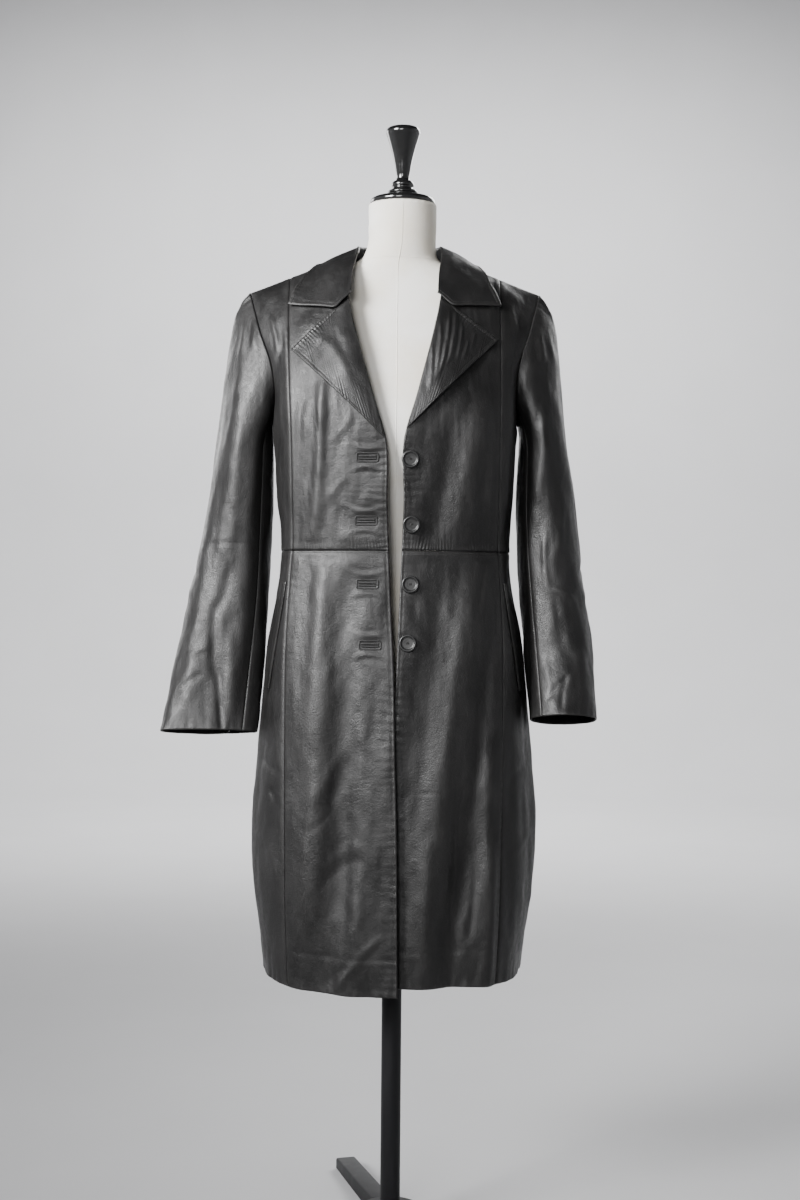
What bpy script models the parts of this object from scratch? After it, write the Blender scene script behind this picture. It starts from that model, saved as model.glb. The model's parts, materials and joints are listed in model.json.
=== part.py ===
"""A knee-length leather coat worn open by a dress form on a three-legged stand.

Metres, +Z up. The middle of the stand's foot is the origin and the coat's front faces -Y.
Left and right are the wearer's, so the right side is at -X. Each cloth piece is a grid of
points on its own stretch of the coat's form, grown into a wall; sewn edges are mitred.
"""

import math
from types import SimpleNamespace

import bmesh
import bpy
import numpy as np
from mathutils import Matrix, Vector

# Driving dimensions
LEATHER = 0.0022
SEAM_GAP = 0.0003
SLEEVE_SEAM_GAP = 0.0007
SEAM_MATCH = 0.00005
HEM_Z = 0.385
WAIST_Z = 1.000
UNDERARM_Z = 1.190
SHOULDER_HALF = 0.2145
SHOULDER_TIP_Z = 1.385
SHOULDER_SLOPE = 0.39
NECK_HALF = 0.075
NECK_EDGE = 0.073
BACK_NECK_Y = 0.062
BACK_NECK_DROP = 0.012
COAT_LEAN = -0.004
LEAN_FROM_Z = 1.10
LEAN_FULL_Z = 1.38
SIDES = {"right": -1, "left": 1}

# Form of the coat between the sections
FACE_POWER = 2.4
DOME = 1.6
RISE = 1.25
ROUND_STEPS = 12

# Grid counts of the cloth
FRONT_COLUMNS = 8
SIDE_COLUMNS = 5
BACK_COLUMNS = 4
BACK_SIDE_COLUMNS = 3
SKIRT_ROWS = 13
BODICE_ROWS = 5
YOKE_ROWS = 8
CAP_ROWS = 5
ARM_ROWS = 8


class Sections:
    """A short table of sections, read between its rows on a smooth curve."""

    def __init__(self, columns, rows):
        self.columns = columns.split()
        self.rows = np.array(rows, float)
        self.keys = self.rows[:, 0]
        self.slopes = np.gradient(self.rows, self.keys, axis=0)

    def at(self, key):
        key = min(max(key, self.keys[0]), self.keys[-1])
        i = min(max(int(np.searchsorted(self.keys, key)) - 1, 0), len(self.keys) - 2)
        step = self.keys[i + 1] - self.keys[i]
        t = (key - self.keys[i]) / step
        near = self.rows[i] * (1 + 2 * t) * (1 - t) ** 2 + self.slopes[i] * step * t * (1 - t) ** 2
        far = self.rows[i + 1] * t * t * (3 - 2 * t) + self.slopes[i + 1] * step * t * t * (t - 1)
        return SimpleNamespace(**dict(zip(self.columns, near + far)))


# Rings of the coat from hem to underarm: the side's half width, then the panel seam and the middle
TORSO = Sections(
    "z half_width y_side x_front y_front y_mid_front x_back y_back y_mid_back",
    [
        (0.370, 0.1880, 0.010, 0.146, -0.118, -0.160, 0.130, 0.115, 0.150),
        (0.460, 0.2000, 0.010, 0.151, -0.117, -0.157, 0.130, 0.113, 0.147),
        (0.600, 0.2085, 0.010, 0.154, -0.113, -0.152, 0.130, 0.108, 0.142),
        (0.730, 0.1980, 0.012, 0.156, -0.105, -0.145, 0.126, 0.100, 0.134),
        (0.870, 0.1840, 0.012, 0.156, -0.096, -0.137, 0.120, 0.088, 0.120),
        (0.950, 0.1720, 0.010, 0.152, -0.090, -0.131, 0.115, 0.075, 0.103),
        (1.000, 0.1690, 0.008, 0.148, -0.088, -0.129, 0.112, 0.066, 0.092),
        (1.080, 0.1740, 0.006, 0.149, -0.096, -0.134, 0.116, 0.076, 0.102),
        (1.140, 0.1775, 0.005, 0.150, -0.101, -0.138, 0.121, 0.084, 0.110),
        (1.190, 0.1800, 0.004, 0.151, -0.103, -0.139, 0.125, 0.088, 0.113),
    ],
)
SHOULDER_SEAM_X = {"front": 0.1555, "back": 0.150}

# Armhole from the underarm up to the shoulder tip
ARMHOLE = {
    "front": Sections(
        "w x y z",
        [
            (0.00, 0.1800, 0.004, 1.190),
            (0.15, 0.1775, -0.034, 1.204),
            (0.45, 0.1780, -0.060, 1.262),
            (0.70, 0.1960, -0.046, 1.320),
            (1.00, 0.2145, 0.000, 1.385),
        ],
    ),
    "back": Sections(
        "w x y z",
        [
            (0.00, 0.1800, 0.004, 1.190),
            (0.15, 0.1765, 0.042, 1.208),
            (0.45, 0.1820, 0.068, 1.268),
            (0.70, 0.1970, 0.052, 1.325),
            (1.00, 0.2145, 0.000, 1.385),
        ],
    ),
}

# Front edge below the break and roll line above it, measured from the middle towards its own side
FRONT_EDGE = {
    "right": Sections(
        "z inset",
        [
            (0.385, -0.0083),
            (0.610, -0.0055),
            (0.708, -0.0029),
            (0.833, 0.0004),
            (0.946, 0.0062),
            (1.080, 0.0115),
            (1.152, 0.0125),
            (1.214, 0.0290),
            (1.271, 0.0438),
            (1.330, 0.0590),
            (1.370, 0.0665),
            (1.440, 0.0750),
        ],
    ),
    "left": Sections(
        "z inset",
        [
            (0.385, -0.0160),
            (0.600, -0.0100),
            (0.708, -0.0040),
            (0.833, 0.0029),
            (0.923, 0.0060),
            (1.068, 0.0111),
            (1.164, 0.0125),
            (1.214, 0.0280),
            (1.271, 0.0438),
            (1.330, 0.0590),
            (1.370, 0.0665),
            (1.440, 0.0750),
        ],
    ),
}
# How much lower the hem hangs at each front
HEM_DROP = {"right": 0.010, "left": 0.0}
# How far each front steps forward at the hem, so that the right one lies over the left
FRONT_STEP = {"right": -0.006, "left": 0.010}
STEP_TOP_Z = 0.92
STEP_FULL_Z = 0.62
STEP_FADE = 1.5

# The skirt's largest folds, from where each starts to where it meets the hem
FLUTES = [
    # face, x_top, z_top, x_foot, z_foot, width, depth
    ("front", 0.058, 0.960, 0.030, 0.385, 0.034, 0.007),
    ("front", 0.108, 0.900, 0.086, 0.385, 0.022, -0.010),
    ("front", 0.138, 0.880, 0.124, 0.385, 0.020, 0.006),
    ("front", -0.118, 0.960, -0.126, 0.385, 0.026, 0.005),
    ("front", -0.075, 0.800, -0.090, 0.400, 0.028, -0.008),
    ("front", -0.036, 0.640, -0.070, 0.385, 0.022, 0.006),
    ("back", -0.105, 0.850, -0.115, 0.385, 0.030, 0.012),
    ("back", -0.050, 0.800, -0.048, 0.385, 0.028, -0.011),
    ("back", 0.015, 0.860, 0.012, 0.385, 0.034, 0.010),
    ("back", 0.072, 0.820, 0.078, 0.385, 0.026, -0.010),
    ("back", 0.125, 0.800, 0.130, 0.385, 0.022, 0.008),
]
FLUTE_GROWTH = 1.4
FLUTE_CALM = 0.05

# Sleeve rings down from the level of the armpit
ARMPIT_RING_Z = 1.150
ARMHOLE_EASE = 0.0012
NEXT_RING = 0.02
# How the sleeve leaves the armhole at the underarm and at the shoulder tip
CAP_OUT = (0.30, 0.78)
CAP_DOWN = (-0.85, -0.65)
CAP_FULLNESS = 0.55
SLEEVE = {
    "right": Sections(
        "down x y half_x half_y tilt",
        [
            (0.000, 0.2250, 0.008, 0.0440, 0.0650, 0.0),
            (0.100, 0.2340, 0.006, 0.0515, 0.0580, 3.0),
            (0.220, 0.2453, -0.004, 0.0605, 0.0470, 7.0),
            (0.320, 0.2578, -0.024, 0.0658, 0.0350, 10.0),
            (0.415, 0.2702, -0.050, 0.0710, 0.0225, 12.0),
        ],
    ),
    "left": Sections(
        "down x y half_x half_y tilt",
        [
            (0.000, 0.2180, 0.008, 0.0370, 0.0700, 0.0),
            (0.100, 0.2235, 0.004, 0.0450, 0.0630, 3.0),
            (0.220, 0.2340, -0.008, 0.0490, 0.0580, 7.0),
            (0.320, 0.2428, -0.030, 0.0497, 0.0530, 10.0),
            (0.393, 0.2465, -0.058, 0.0482, 0.0500, 12.0),
        ],
    ),
}
# Round the sleeve, counted from the shoulder tip by way of the front
FRONT_SLEEVE_SEAM = 6
BACK_SLEEVE_SEAM = 11

# Collar from the middle of the back to the gorge: foot of the stand, roll line, outer edge
COLLAR = Sections(
    "s foot_x foot_y foot_z roll_x roll_y roll_z edge_x edge_y edge_z lift",
    [
        (0.00, 0.0000, 0.0590, 1.4300, 0.0000, 0.0720, 1.4640, 0.0000, 0.0900, 1.3980, 0.0060),
        (0.25, 0.0420, 0.0460, 1.4340, 0.0400, 0.0580, 1.4630, 0.0580, 0.0830, 1.3970, 0.0060),
        (0.45, 0.0625, 0.0270, 1.4380, 0.0565, 0.0320, 1.4590, 0.0980, 0.0450, 1.4060, 0.0055),
        (0.60, 0.0680, 0.0050, 1.4420, 0.0610, 0.0080, 1.4560, 0.1180, 0.0020, 1.4250, 0.0055),
        (0.78, 0.0645, -0.0300, 1.4240, 0.0625, -0.0320, 1.4310, 0.1390, -0.0370, 1.3980, 0.0090),
        (0.90, 0.0615, -0.0560, 1.3970, 0.0620, -0.0620, 1.4040, 0.1490, -0.0530, 1.3780, 0.0105),
        (1.00, 0.0580, -0.0780, 1.3690, 0.0600, -0.0850, 1.3730, 0.1560, -0.0590, 1.3585, 0.0105),
    ],
)
COLLAR_FRONT_LIFT = 0.0085
COLLAR_HALF_ROWS = 10
COLLAR_FALL_COLUMNS = 6
COLLAR_SHIFT = 0.007
COLLAR_SHIFT_FROM_Z = 1.39
COLLAR_SHIFT_FULL_Z = 1.45
GORGE_GAP = 0.0012
NOTCH_STEPS = 2
NOTCH_FROM = 0.74
FRONT_FROM = 0.68
FRONT_BY = 0.88
FALL_BULGE = 0.003
STAND_MIDDLE = 0.6
ROLL_RADIUS = 0.004
ROLL_SHARE = 0.35
ROLL_CROWN = 0.4
NOTCH_DEPTH_SHARE = 0.3

# Lapels: heights of the roll line's ends, then the notch and the tip in x and z
LAPEL = {
    "right": SimpleNamespace(break_z=1.158, gorge_z=1.363, notch=(0.0865, 1.349), tip=(0.150, 1.289)),
    "left": SimpleNamespace(break_z=1.172, gorge_z=1.366, notch=(0.0850, 1.354), tip=(0.150, 1.306)),
}
LAPEL_CLEARANCE = 0.0011
LAPEL_ROLL = 0.006
LAPEL_ROLL_REACH = 1.15
LAPEL_FULL_WIDTH = 0.08
LAPEL_SETBACK = 0.002
LAPEL_GRID = 6

# Slanted pockets: a strip from behind the long front seam, top to bottom
POCKET_TOP_Z = 0.955
POCKET_FOOT_Z = 0.800
POCKET_TOP_SHARE = 0.10
POCKET_FOOT_SHARE = 0.42
POCKET_WIDTH_SHARE = 0.16
POCKET_ROWS = 6
TRIM_CLEARANCE = 0.0006
TRIM_WALL = 0.0016
WELT_CLEARANCE = 0.0008

# Buttons and bound buttonholes, top to bottom
BUTTON_RADIUS = 0.0125
BUTTON_THICKNESS = 0.0045
BUTTON_SEGMENTS = 20
BUTTONS = [
    # x, z
    (0.0205, 1.129),
    (0.0225, 1.037),
    (0.0215, 0.952),
    (0.0185, 0.869),
]
BUTTONHOLES = [
    # x, z
    (-0.0400, 1.131),
    (-0.0415, 1.042),
    (-0.0390, 0.952),
    (-0.0345, 0.866),
]
BUTTONHOLE_LENGTH = 0.029
BUTTONHOLE_HEIGHT = 0.011
BUTTONHOLE_SLIT = 0.0016
BUTTONHOLE_END = 0.003

# Dress form rings from the bottom plate to the neck top
FORM_BOTTOM_Z = 0.780
FORM_TOP_Z = 1.5175
NECK_LEAN = 0.0065
NECK_BASE_Z = 1.415
NECK_LEAN_FULL_Z = 1.465
FORM_SEGMENTS = 28
FORM = Sections(
    "z half_width y_front y_back power",
    [
        (0.780, 0.150, -0.092, 0.095, 2.2),
        (0.850, 0.152, -0.098, 0.096, 2.2),
        (0.940, 0.130, -0.092, 0.078, 2.2),
        (1.000, 0.118, -0.088, 0.068, 2.2),
        (1.080, 0.133, -0.105, 0.078, 2.2),
        (1.165, 0.150, -0.127, 0.092, 2.3),
        (1.240, 0.156, -0.112, 0.090, 2.3),
        (1.310, 0.164, -0.084, 0.078, 2.2),
        (1.360, 0.160, -0.060, 0.063, 2.0),
        (1.395, 0.138, -0.046, 0.051, 1.8),
        (1.415, 0.106, -0.042, 0.040, 1.8),
        (1.430, 0.064, -0.040, 0.039, 1.9),
        (1.445, 0.053, -0.043, 0.042, 2.0),
        (1.480, 0.051, -0.046, 0.045, 2.0),
        (1.5175, 0.051, -0.047, 0.046, 2.0),
    ],
)
FORM_RINGS_A_ROW = 2

# Turned profiles of cap and finial: radius and height above the neck top
CAP_PROFILE = [
    # radius, height
    (0.0475, 0.0000),
    (0.0480, 0.0050),
    (0.0465, 0.0075),
    (0.0380, 0.0098),
    (0.0285, 0.0125),
    (0.0235, 0.0160),
]
FINIAL_PROFILE = [
    # radius, height
    (0.0215, 0.0163),
    (0.0225, 0.0180),
    (0.0210, 0.0205),
    (0.0165, 0.0225),
    (0.0152, 0.0250),
    (0.0168, 0.0285),
    (0.0165, 0.0315),
    (0.0140, 0.0345),
    (0.0105, 0.0365),
    (0.0097, 0.0395),
    (0.0110, 0.0490),
    (0.0165, 0.0765),
    (0.0240, 0.1020),
    (0.0255, 0.1075),
    (0.0238, 0.1125),
    (0.0170, 0.1155),
    (0.0085, 0.1172),
]
TURNED_SEGMENTS = 28

# Stand
POLE_RADIUS = 0.0147
HUB_RADIUS = 0.046
HUB_HEIGHT = 0.028
HUB_CHAMFER = 0.004
LEG_WIDTH = 0.032
LEG_HEIGHT = 0.026
LEG_TOE_HEIGHT = 0.018
LEG_REACH = 0.270
LEG_ANGLES = (106, 226, 346)

# Looks: colour, roughness
LOOKS = {
    "leather": ((0.012, 0.011, 0.011), 0.40),
    "button": ((0.010, 0.010, 0.010), 0.25),
    "canvas": ((0.72, 0.69, 0.62), 0.90),
    "lacquer": ((0.008, 0.008, 0.008), 0.12),
    "metal": ((0.015, 0.015, 0.016), 0.45),
}


def clamp(value):
    return min(max(value, 0.0), 1.0)


def smooth(value):
    value = clamp(value)
    return value * value * (3 - 2 * value)


def ramp(value, start, full):
    """0 at the start, 1 where it is full, with a soft beginning and end."""
    return smooth((value - start) / (full - start))


def blend(first, second, share):
    return first + (second - first) * share


def conic(first, corner, last, t):
    return first * (1 - t) ** 2 + corner * 2 * t * (1 - t) + last * t * t


def face_of(section, face):
    """The columns of one face of a torso section: panel seam and middle."""
    if face == "front":
        return section.x_front, section.y_front, section.y_mid_front
    return section.x_back, section.y_back, section.y_mid_back


def face_y(section, face, x):
    x_seam, y_seam, y_mid = face_of(section, face)
    return y_mid + (y_seam - y_mid) * (abs(x) / x_seam) ** FACE_POWER


def top_line(face, x):
    """Depth and height of the shoulder seam at x, or of the neckline at the back."""
    if face == "back" and abs(x) < NECK_HALF:
        share = math.sqrt(1 - (x / NECK_HALF) ** 2)
        at_neck = SHOULDER_TIP_Z + (SHOULDER_HALF - NECK_HALF) * SHOULDER_SLOPE
        return BACK_NECK_Y * share, at_neck - BACK_NECK_DROP * share
    return 0.0, SHOULDER_TIP_Z + (SHOULDER_HALF - abs(x)) * SHOULDER_SLOPE


def yoke_point(face, x, rise):
    """A point of front or back above the underarm, at its share of the rise to the shoulder."""
    y_top, z_top = top_line(face, x)
    low = face_y(TORSO.at(UNDERARM_Z), face, x)
    fall = max(1 - rise ** DOME, 0.0) ** (1 / DOME)
    return Vector((x, y_top + (low - y_top) * fall, UNDERARM_Z + rise * (z_top - UNDERARM_Z)))


def torso_point(face, x, z):
    """A point of the coat's plain form in front or at the back, at x and z."""
    if z <= UNDERARM_Z:
        return Vector((x, face_y(TORSO.at(z), face, x), z))
    z_top = top_line(face, x)[1]
    return yoke_point(face, x, clamp((z - UNDERARM_Z) / (z_top - UNDERARM_Z)))


def height_over(x, y):
    """The height of the coat's shoulders at x and y."""
    face = "front" if y < 0 else "back"
    y_top, z_top = top_line(face, x)
    low = face_y(TORSO.at(UNDERARM_Z), face, x)
    share = clamp((y - y_top) / (low - y_top))
    return UNDERARM_Z + (1 - share ** DOME) ** (1 / DOME) * (z_top - UNDERARM_Z)


def fluted(face, point, side):
    """The point moved out or in by the skirt's folds; x is still on the positive side."""
    section = TORSO.at(point.z)
    middle = face_of(section, face)[2]
    move = 0.0
    for where, x_top, z_top, x_foot, z_foot, width, depth in FLUTES:
        if where != face:
            continue
        share = clamp((z_top - point.z) / (z_top - z_foot))
        away = (point.x * side - blend(x_top, x_foot, share)) / width
        move += depth * smooth(share * FLUTE_GROWTH) * math.exp(-away * away)
    calm = ramp(abs(point.y - section.y_side), 0, FLUTE_CALM)
    out = Vector((point.x / section.half_width ** 2, point.y / middle ** 2, 0)).normalized()
    return point + out * move * calm


def ring_point(face, side, a, z, inner):
    """Round half a ring: a runs 0 to 1 from the inner edge to the panel seam, 1 to 2 on to the side."""
    section = TORSO.at(z)
    x_seam, y_seam, y_mid = face_of(section, face)
    if a <= 1:
        x = blend(inner, x_seam, a)
        point = Vector((x, face_y(section, face, x), z))
        if face == "front":
            step = ramp(z, STEP_TOP_Z, STEP_FULL_Z)
            point.y += FRONT_STEP[side] * step * (1 - clamp(a)) ** STEP_FADE
    else:
        slope = FACE_POWER * (y_seam - y_mid) / x_seam
        corner = Vector((section.half_width, y_seam + slope * (section.half_width - x_seam), z))
        edge = Vector((section.half_width, section.y_side, z))
        point = conic(Vector((x_seam, y_seam, z)), corner, edge, a - 1)
    return fluted(face, point, SIDES[side])


def over_point(face, side, a, w):
    """The same above the underarm, where w runs from there to the shoulder seam."""
    section = TORSO.at(UNDERARM_Z)
    x_seam, y_seam, y_mid = face_of(section, face)
    rise = w ** RISE
    x_low = x_seam
    x_seam = blend(x_low, SHOULDER_SEAM_X[face], w)
    if a <= 1:
        inner = 0.0
        if face == "front":
            inner = FRONT_EDGE[side].at(UNDERARM_Z).inset
            for _ in range(ROUND_STEPS):
                inner = FRONT_EDGE[side].at(yoke_point(face, inner, rise).z).inset
        return yoke_point(face, blend(inner, x_seam, a), rise)
    seam = yoke_point(face, x_seam, rise)
    arm = ARMHOLE[face].at(w)
    arm = Vector((arm.x, arm.y, arm.z))
    fall = max(1 - rise ** DOME, 0.0) ** (1 / DOME)
    slope = FACE_POWER * (y_seam - y_mid) / x_low * fall
    x_corner = blend(seam.x, arm.x, 1 - 0.5 * w)
    corner = Vector((x_corner, seam.y + slope * (x_corner - seam.x), (seam.z + arm.z) / 2))
    return conic(seam, corner, arm, a - 1)


def yoke_steps():
    """Rows from underarm to shoulder, close together at both ends like the sleeve's columns."""
    return [(1 - math.cos(math.pi * i / YOKE_ROWS)) / 2 for i in range(YOKE_ROWS + 1)]


def bodice_rows(face, side, steps):
    rows = []
    for i in range(BODICE_ROWS):
        z = blend(WAIST_Z, UNDERARM_Z, i / BODICE_ROWS)
        inner = FRONT_EDGE[side].at(z).inset if face == "front" else 0.0
        rows.append([ring_point(face, side, a, z, inner) for a in steps])
    for w in yoke_steps():
        rows.append([over_point(face, side, a, w) for a in steps])
    return rows


def skirt_rows(face, side, steps):
    rows = []
    for i in range(SKIRT_ROWS + 1):
        row = []
        for a in steps:
            drop = HEM_DROP[side] * smooth(1.5 - a) if face == "front" else 0.0
            z = blend(HEM_Z - drop, WAIST_Z, i / SKIRT_ROWS)
            inner = FRONT_EDGE[side].at(z).inset if face == "front" else 0.0
            row.append(ring_point(face, side, a, z, inner))
        rows.append(row)
    return rows


def mirrored(rows, side):
    """Rows worked out at positive x, put on their own side with the columns running to +X."""
    if SIDES[side] > 0:
        return rows
    return [[Vector((-p.x, p.y, p.z)) for p in reversed(row)] for row in rows]


def counted(first, last, count):
    return [blend(first, last, i / count) for i in range(count + 1)]


def body_sheets():
    front = counted(0, 1, FRONT_COLUMNS)
    flank = counted(1, 2, SIDE_COLUMNS)
    half = counted(0, 1, BACK_COLUMNS) + counted(1, 2, BACK_SIDE_COLUMNS)[1:]
    sheets = {}
    for side in SIDES:
        sheets["front_bodice_" + side] = mirrored(bodice_rows("front", side, front), side)
        sheets["side_bodice_" + side] = mirrored(bodice_rows("front", side, flank), side)
        sheets["front_skirt_" + side] = mirrored(skirt_rows("front", side, front), side)
        sheets["side_skirt_" + side] = mirrored(skirt_rows("front", side, flank), side)
    for name, rows_of in (("back_bodice", bodice_rows), ("back_skirt", skirt_rows)):
        right = mirrored(rows_of("back", "right", half), "right")
        left = rows_of("back", "left", half)
        sheets[name] = [a + b[1:] for a, b in zip(right, left)]
    return sheets


def sleeve_ring(side, down, angle):
    ring = SLEEVE[side].at(down)
    x = ring.x + ring.half_x * math.cos(angle)
    y = ring.y - ring.half_y * math.sin(angle)
    rise = math.tan(math.radians(ring.tilt)) * (ring.y - y)
    return Vector((x, y, ARMPIT_RING_Z - down + rise))


def sleeve_column(side, index):
    """One line down the sleeve from the armhole; index 0 is the shoulder tip, 8 the underarm."""
    count = 2 * YOKE_ROWS
    index = index % count
    angle = 2 * math.pi * index / count
    face = "front" if index <= YOKE_ROWS else "back"
    share = (1 + math.cos(angle)) / 2
    arm = ARMHOLE[face].at(share)
    start = Vector((arm.x + ARMHOLE_EASE * (2 - share), arm.y, arm.z))
    end = sleeve_ring(side, 0, angle)
    reach = (end - start).length
    leave = Vector((blend(*CAP_OUT, share), 0, blend(*CAP_DOWN, share))).normalized() * reach * CAP_FULLNESS
    arrive = (sleeve_ring(side, NEXT_RING, angle) - end).normalized() * reach
    line = []
    for i in range(CAP_ROWS):
        t = i / CAP_ROWS
        line.append(
            start * (1 + 2 * t) * (1 - t) ** 2
            + leave * t * (1 - t) ** 2
            + end * t * t * (3 - 2 * t)
            + arrive * t * t * (t - 1)
        )
    cuff = SLEEVE[side].keys[-1]
    line += [sleeve_ring(side, cuff * i / ARM_ROWS, angle) for i in range(ARM_ROWS + 1)]
    return line


def sleeve_sheets():
    sheets = {}
    count = 2 * YOKE_ROWS
    for side in SIDES:
        spans = {
            "upper": range(BACK_SLEEVE_SEAM, count + FRONT_SLEEVE_SEAM + 1),
            "under": range(FRONT_SLEEVE_SEAM, BACK_SLEEVE_SEAM + 1),
        }
        for part, span in spans.items():
            columns = [sleeve_column(side, i) for i in span]
            rows = [list(row) for row in zip(*columns)]
            sheets[part + "_sleeve_" + side] = mirrored(rows, side)
    return sheets


def collar_row(s, side):
    """Foot, stand, roll and fall of the collar at one place; s runs 0 at the back to 1 at the gorge."""
    at = COLLAR.at(s)
    foot = Vector((at.foot_x, at.foot_y, at.foot_z))
    roll = Vector((at.roll_x, at.roll_y, at.roll_z))
    edge = Vector((at.edge_x, at.edge_y, at.edge_z))
    out = Vector((edge.x - roll.x, edge.y - roll.y, 0)).normalized()
    round_over = min(ROLL_RADIUS, (roll - foot).length * ROLL_SHARE)
    fold = roll + out * round_over
    row = [foot, blend(foot, roll, STAND_MIDDLE), roll + Vector((0, 0, round_over * ROLL_CROWN)), fold]
    notch = Vector((LAPEL[side].notch[0], 0, LAPEL[side].notch[1] + GORGE_GAP))
    notch.y = blend(fold.y, edge.y, NOTCH_DEPTH_SHARE)
    share = NOTCH_STEPS / COLLAR_FALL_COLUMNS
    notch = blend(blend(fold, edge, share), notch, ramp(s, NOTCH_FROM, 1))
    for i in range(1, COLLAR_FALL_COLUMNS + 1):
        t = i / COLLAR_FALL_COLUMNS
        if t <= share:
            line = blend(fold, notch, t / share)
        else:
            line = blend(notch, edge, (t - share) / (1 - share))
        high = line + Vector((0, 0, FALL_BULGE * math.sin(math.pi * t)))
        high.z = max(high.z, height_over(high.x, high.y) + at.lift)
        ahead = line.copy()
        ahead.y = min(line.y, torso_point("front", line.x, line.z).y - COLLAR_FRONT_LIFT)
        row.append(blend(high, ahead, ramp(s, FRONT_FROM, FRONT_BY)))
    return row


def collar_sheet():
    """Both halves from the gorge ends to the middle of the back, drawn over to the neck at the top."""
    halves = {}
    for side in SIDES:
        halves[side] = [collar_row(s, side) for s in counted(0, 1, COLLAR_HALF_ROWS)]
    right = [[Vector((-p.x, p.y, p.z)) for p in row] for row in reversed(halves["right"])]
    rows = right + halves["left"][1:]
    for point in (point for row in rows for point in row):
        point.x += COLLAR_SHIFT * ramp(point.z, COLLAR_SHIFT_FROM_Z, COLLAR_SHIFT_FULL_Z)
    return rows


def lapel_sheet(side):
    corner = LAPEL[side]
    rows = []
    for i in range(LAPEL_GRID + 1):
        u = i / LAPEL_GRID
        z_roll = blend(corner.break_z, corner.gorge_z, u)
        x_roll = FRONT_EDGE[side].at(z_roll).inset + LAPEL_SETBACK * (1 - u)
        roll = Vector((x_roll, 0, z_roll))
        tip = Vector((corner.tip[0], 0, corner.tip[1]))
        notch = Vector((corner.notch[0], 0, corner.notch[1]))
        outer = blend(tip, notch, u)
        row = []
        for j in range(LAPEL_GRID + 1):
            v = j / LAPEL_GRID
            place = blend(roll, outer, v)
            point = torso_point("front", place.x, place.z)
            reach = (outer - roll).length
            swell = LAPEL_ROLL * math.sin(math.pi * clamp(v * LAPEL_ROLL_REACH)) * clamp(reach / LAPEL_FULL_WIDTH)
            point.y -= LEATHER + LAPEL_CLEARANCE + swell
            row.append(point)
        rows.append(row)
    return mirrored(rows, side)


def settled(point):
    """The coat hangs a little to the wearer's right at the shoulders."""
    return Vector((point.x + COAT_LEAN * ramp(point.z, LEAN_FROM_Z, LEAN_FULL_Z), point.y, point.z))


def grid_of(rows):
    return np.array([[tuple(settled(p)) for p in row] for row in rows])


def sheet_normals(grid, outwards):
    """Unit normals of a grid of points, turned to the side that shows."""
    along = np.gradient(grid, axis=1)
    up = np.gradient(grid, axis=0)
    normals = np.cross(along, up)
    normals /= np.linalg.norm(normals, axis=2, keepdims=True)
    return normals * outwards


def border(shape):
    """Row and column of every edge place of a grid, with the step inwards from it."""
    rows, columns = shape[:2]
    for i in range(rows):
        for j in range(columns):
            inward = ((i == 0) - (i == rows - 1), (j == 0) - (j == columns - 1))
            if inward != (0, 0):
                yield i, j, inward


def shared_normals(grids, normals):
    """Edge normals averaged with those of the pieces sewn on there, so that seams are mitred."""
    met = {}
    for name, grid in grids.items():
        for i, j, _ in border(grid.shape):
            place = tuple(np.round(grid[i, j] / SEAM_MATCH).astype(int))
            met.setdefault(place, []).append(normals[name][i, j])
    for name, grid in grids.items():
        for i, j, _ in border(grid.shape):
            place = tuple(np.round(grid[i, j] / SEAM_MATCH).astype(int))
            total = np.sum(met[place], axis=0)
            normals[name][i, j] = total / np.linalg.norm(total)


def shoulder_normals(grid, normals):
    """Both sides of the shoulder seam face straight up from its slope."""
    for j in range(grid.shape[1]):
        x = grid[-1, j, 0] - COAT_LEAN
        if abs(x) > NECK_EDGE:
            upright = np.array((math.copysign(SHOULDER_SLOPE, x), 0, 1))
            normals[-1, j] = upright / np.linalg.norm(upright)


def wall_sides(grid, normals, gap=SEAM_GAP):
    """The outer and inner places of a leather wall, its edges drawn back by half a seam gap."""
    outer = grid.copy()
    inner = grid - normals * LEATHER
    for i, j, (di, dj) in border(grid.shape):
        for step in ((di, 0), (0, dj)):
            if step == (0, 0):
                continue
            inward = grid[i + step[0], j + step[1]] - grid[i, j]
            inward -= normals[i, j] * np.dot(inward, normals[i, j])
            inward *= gap / 2 / np.linalg.norm(inward)
            outer[i, j] += inward
            inner[i, j] += inward
    return outer, inner


def keep(name, bm, look):
    """One closed mesh as a named object with its own material."""
    bmesh.ops.recalc_face_normals(bm, faces=bm.faces[:])
    if bm.calc_volume(signed=True) < 0:
        bmesh.ops.reverse_faces(bm, faces=bm.faces[:])
    mesh = bpy.data.meshes.new(name)
    bm.to_mesh(mesh)
    bm.free()
    colour, roughness = LOOKS[look]
    material = bpy.data.materials.new(name)
    material.use_nodes = True
    shader = material.node_tree.nodes["Principled BSDF"]
    shader.inputs["Base Color"].default_value = (*colour, 1)
    shader.inputs["Roughness"].default_value = roughness
    mesh.materials.append(material)
    bpy.context.collection.objects.link(bpy.data.objects.new(name, mesh))


def build_wall(name, outer, inner, look="leather"):
    """A grid sheet extruded into a wall between its outer and inner places."""
    rows, columns = outer.shape[:2]
    bm = bmesh.new()
    bmesh.ops.create_grid(bm, x_segments=columns - 1, y_segments=rows - 1, size=0.5)
    number = bm.verts.layers.int.new("place")
    for vert in bm.verts:
        i = round((vert.co.y + 0.5) * (rows - 1))
        j = round((vert.co.x + 0.5) * (columns - 1))
        vert[number] = i * columns + j
    grown = bmesh.ops.extrude_face_region(bm, geom=bm.faces[:])["geom"]
    raised = {item for item in grown if isinstance(item, bmesh.types.BMVert)}
    for vert in bm.verts:
        i, j = divmod(vert[number], columns)
        vert.co = outer[i, j] if vert in raised else inner[i, j]
    keep(name, bm, look)


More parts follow.
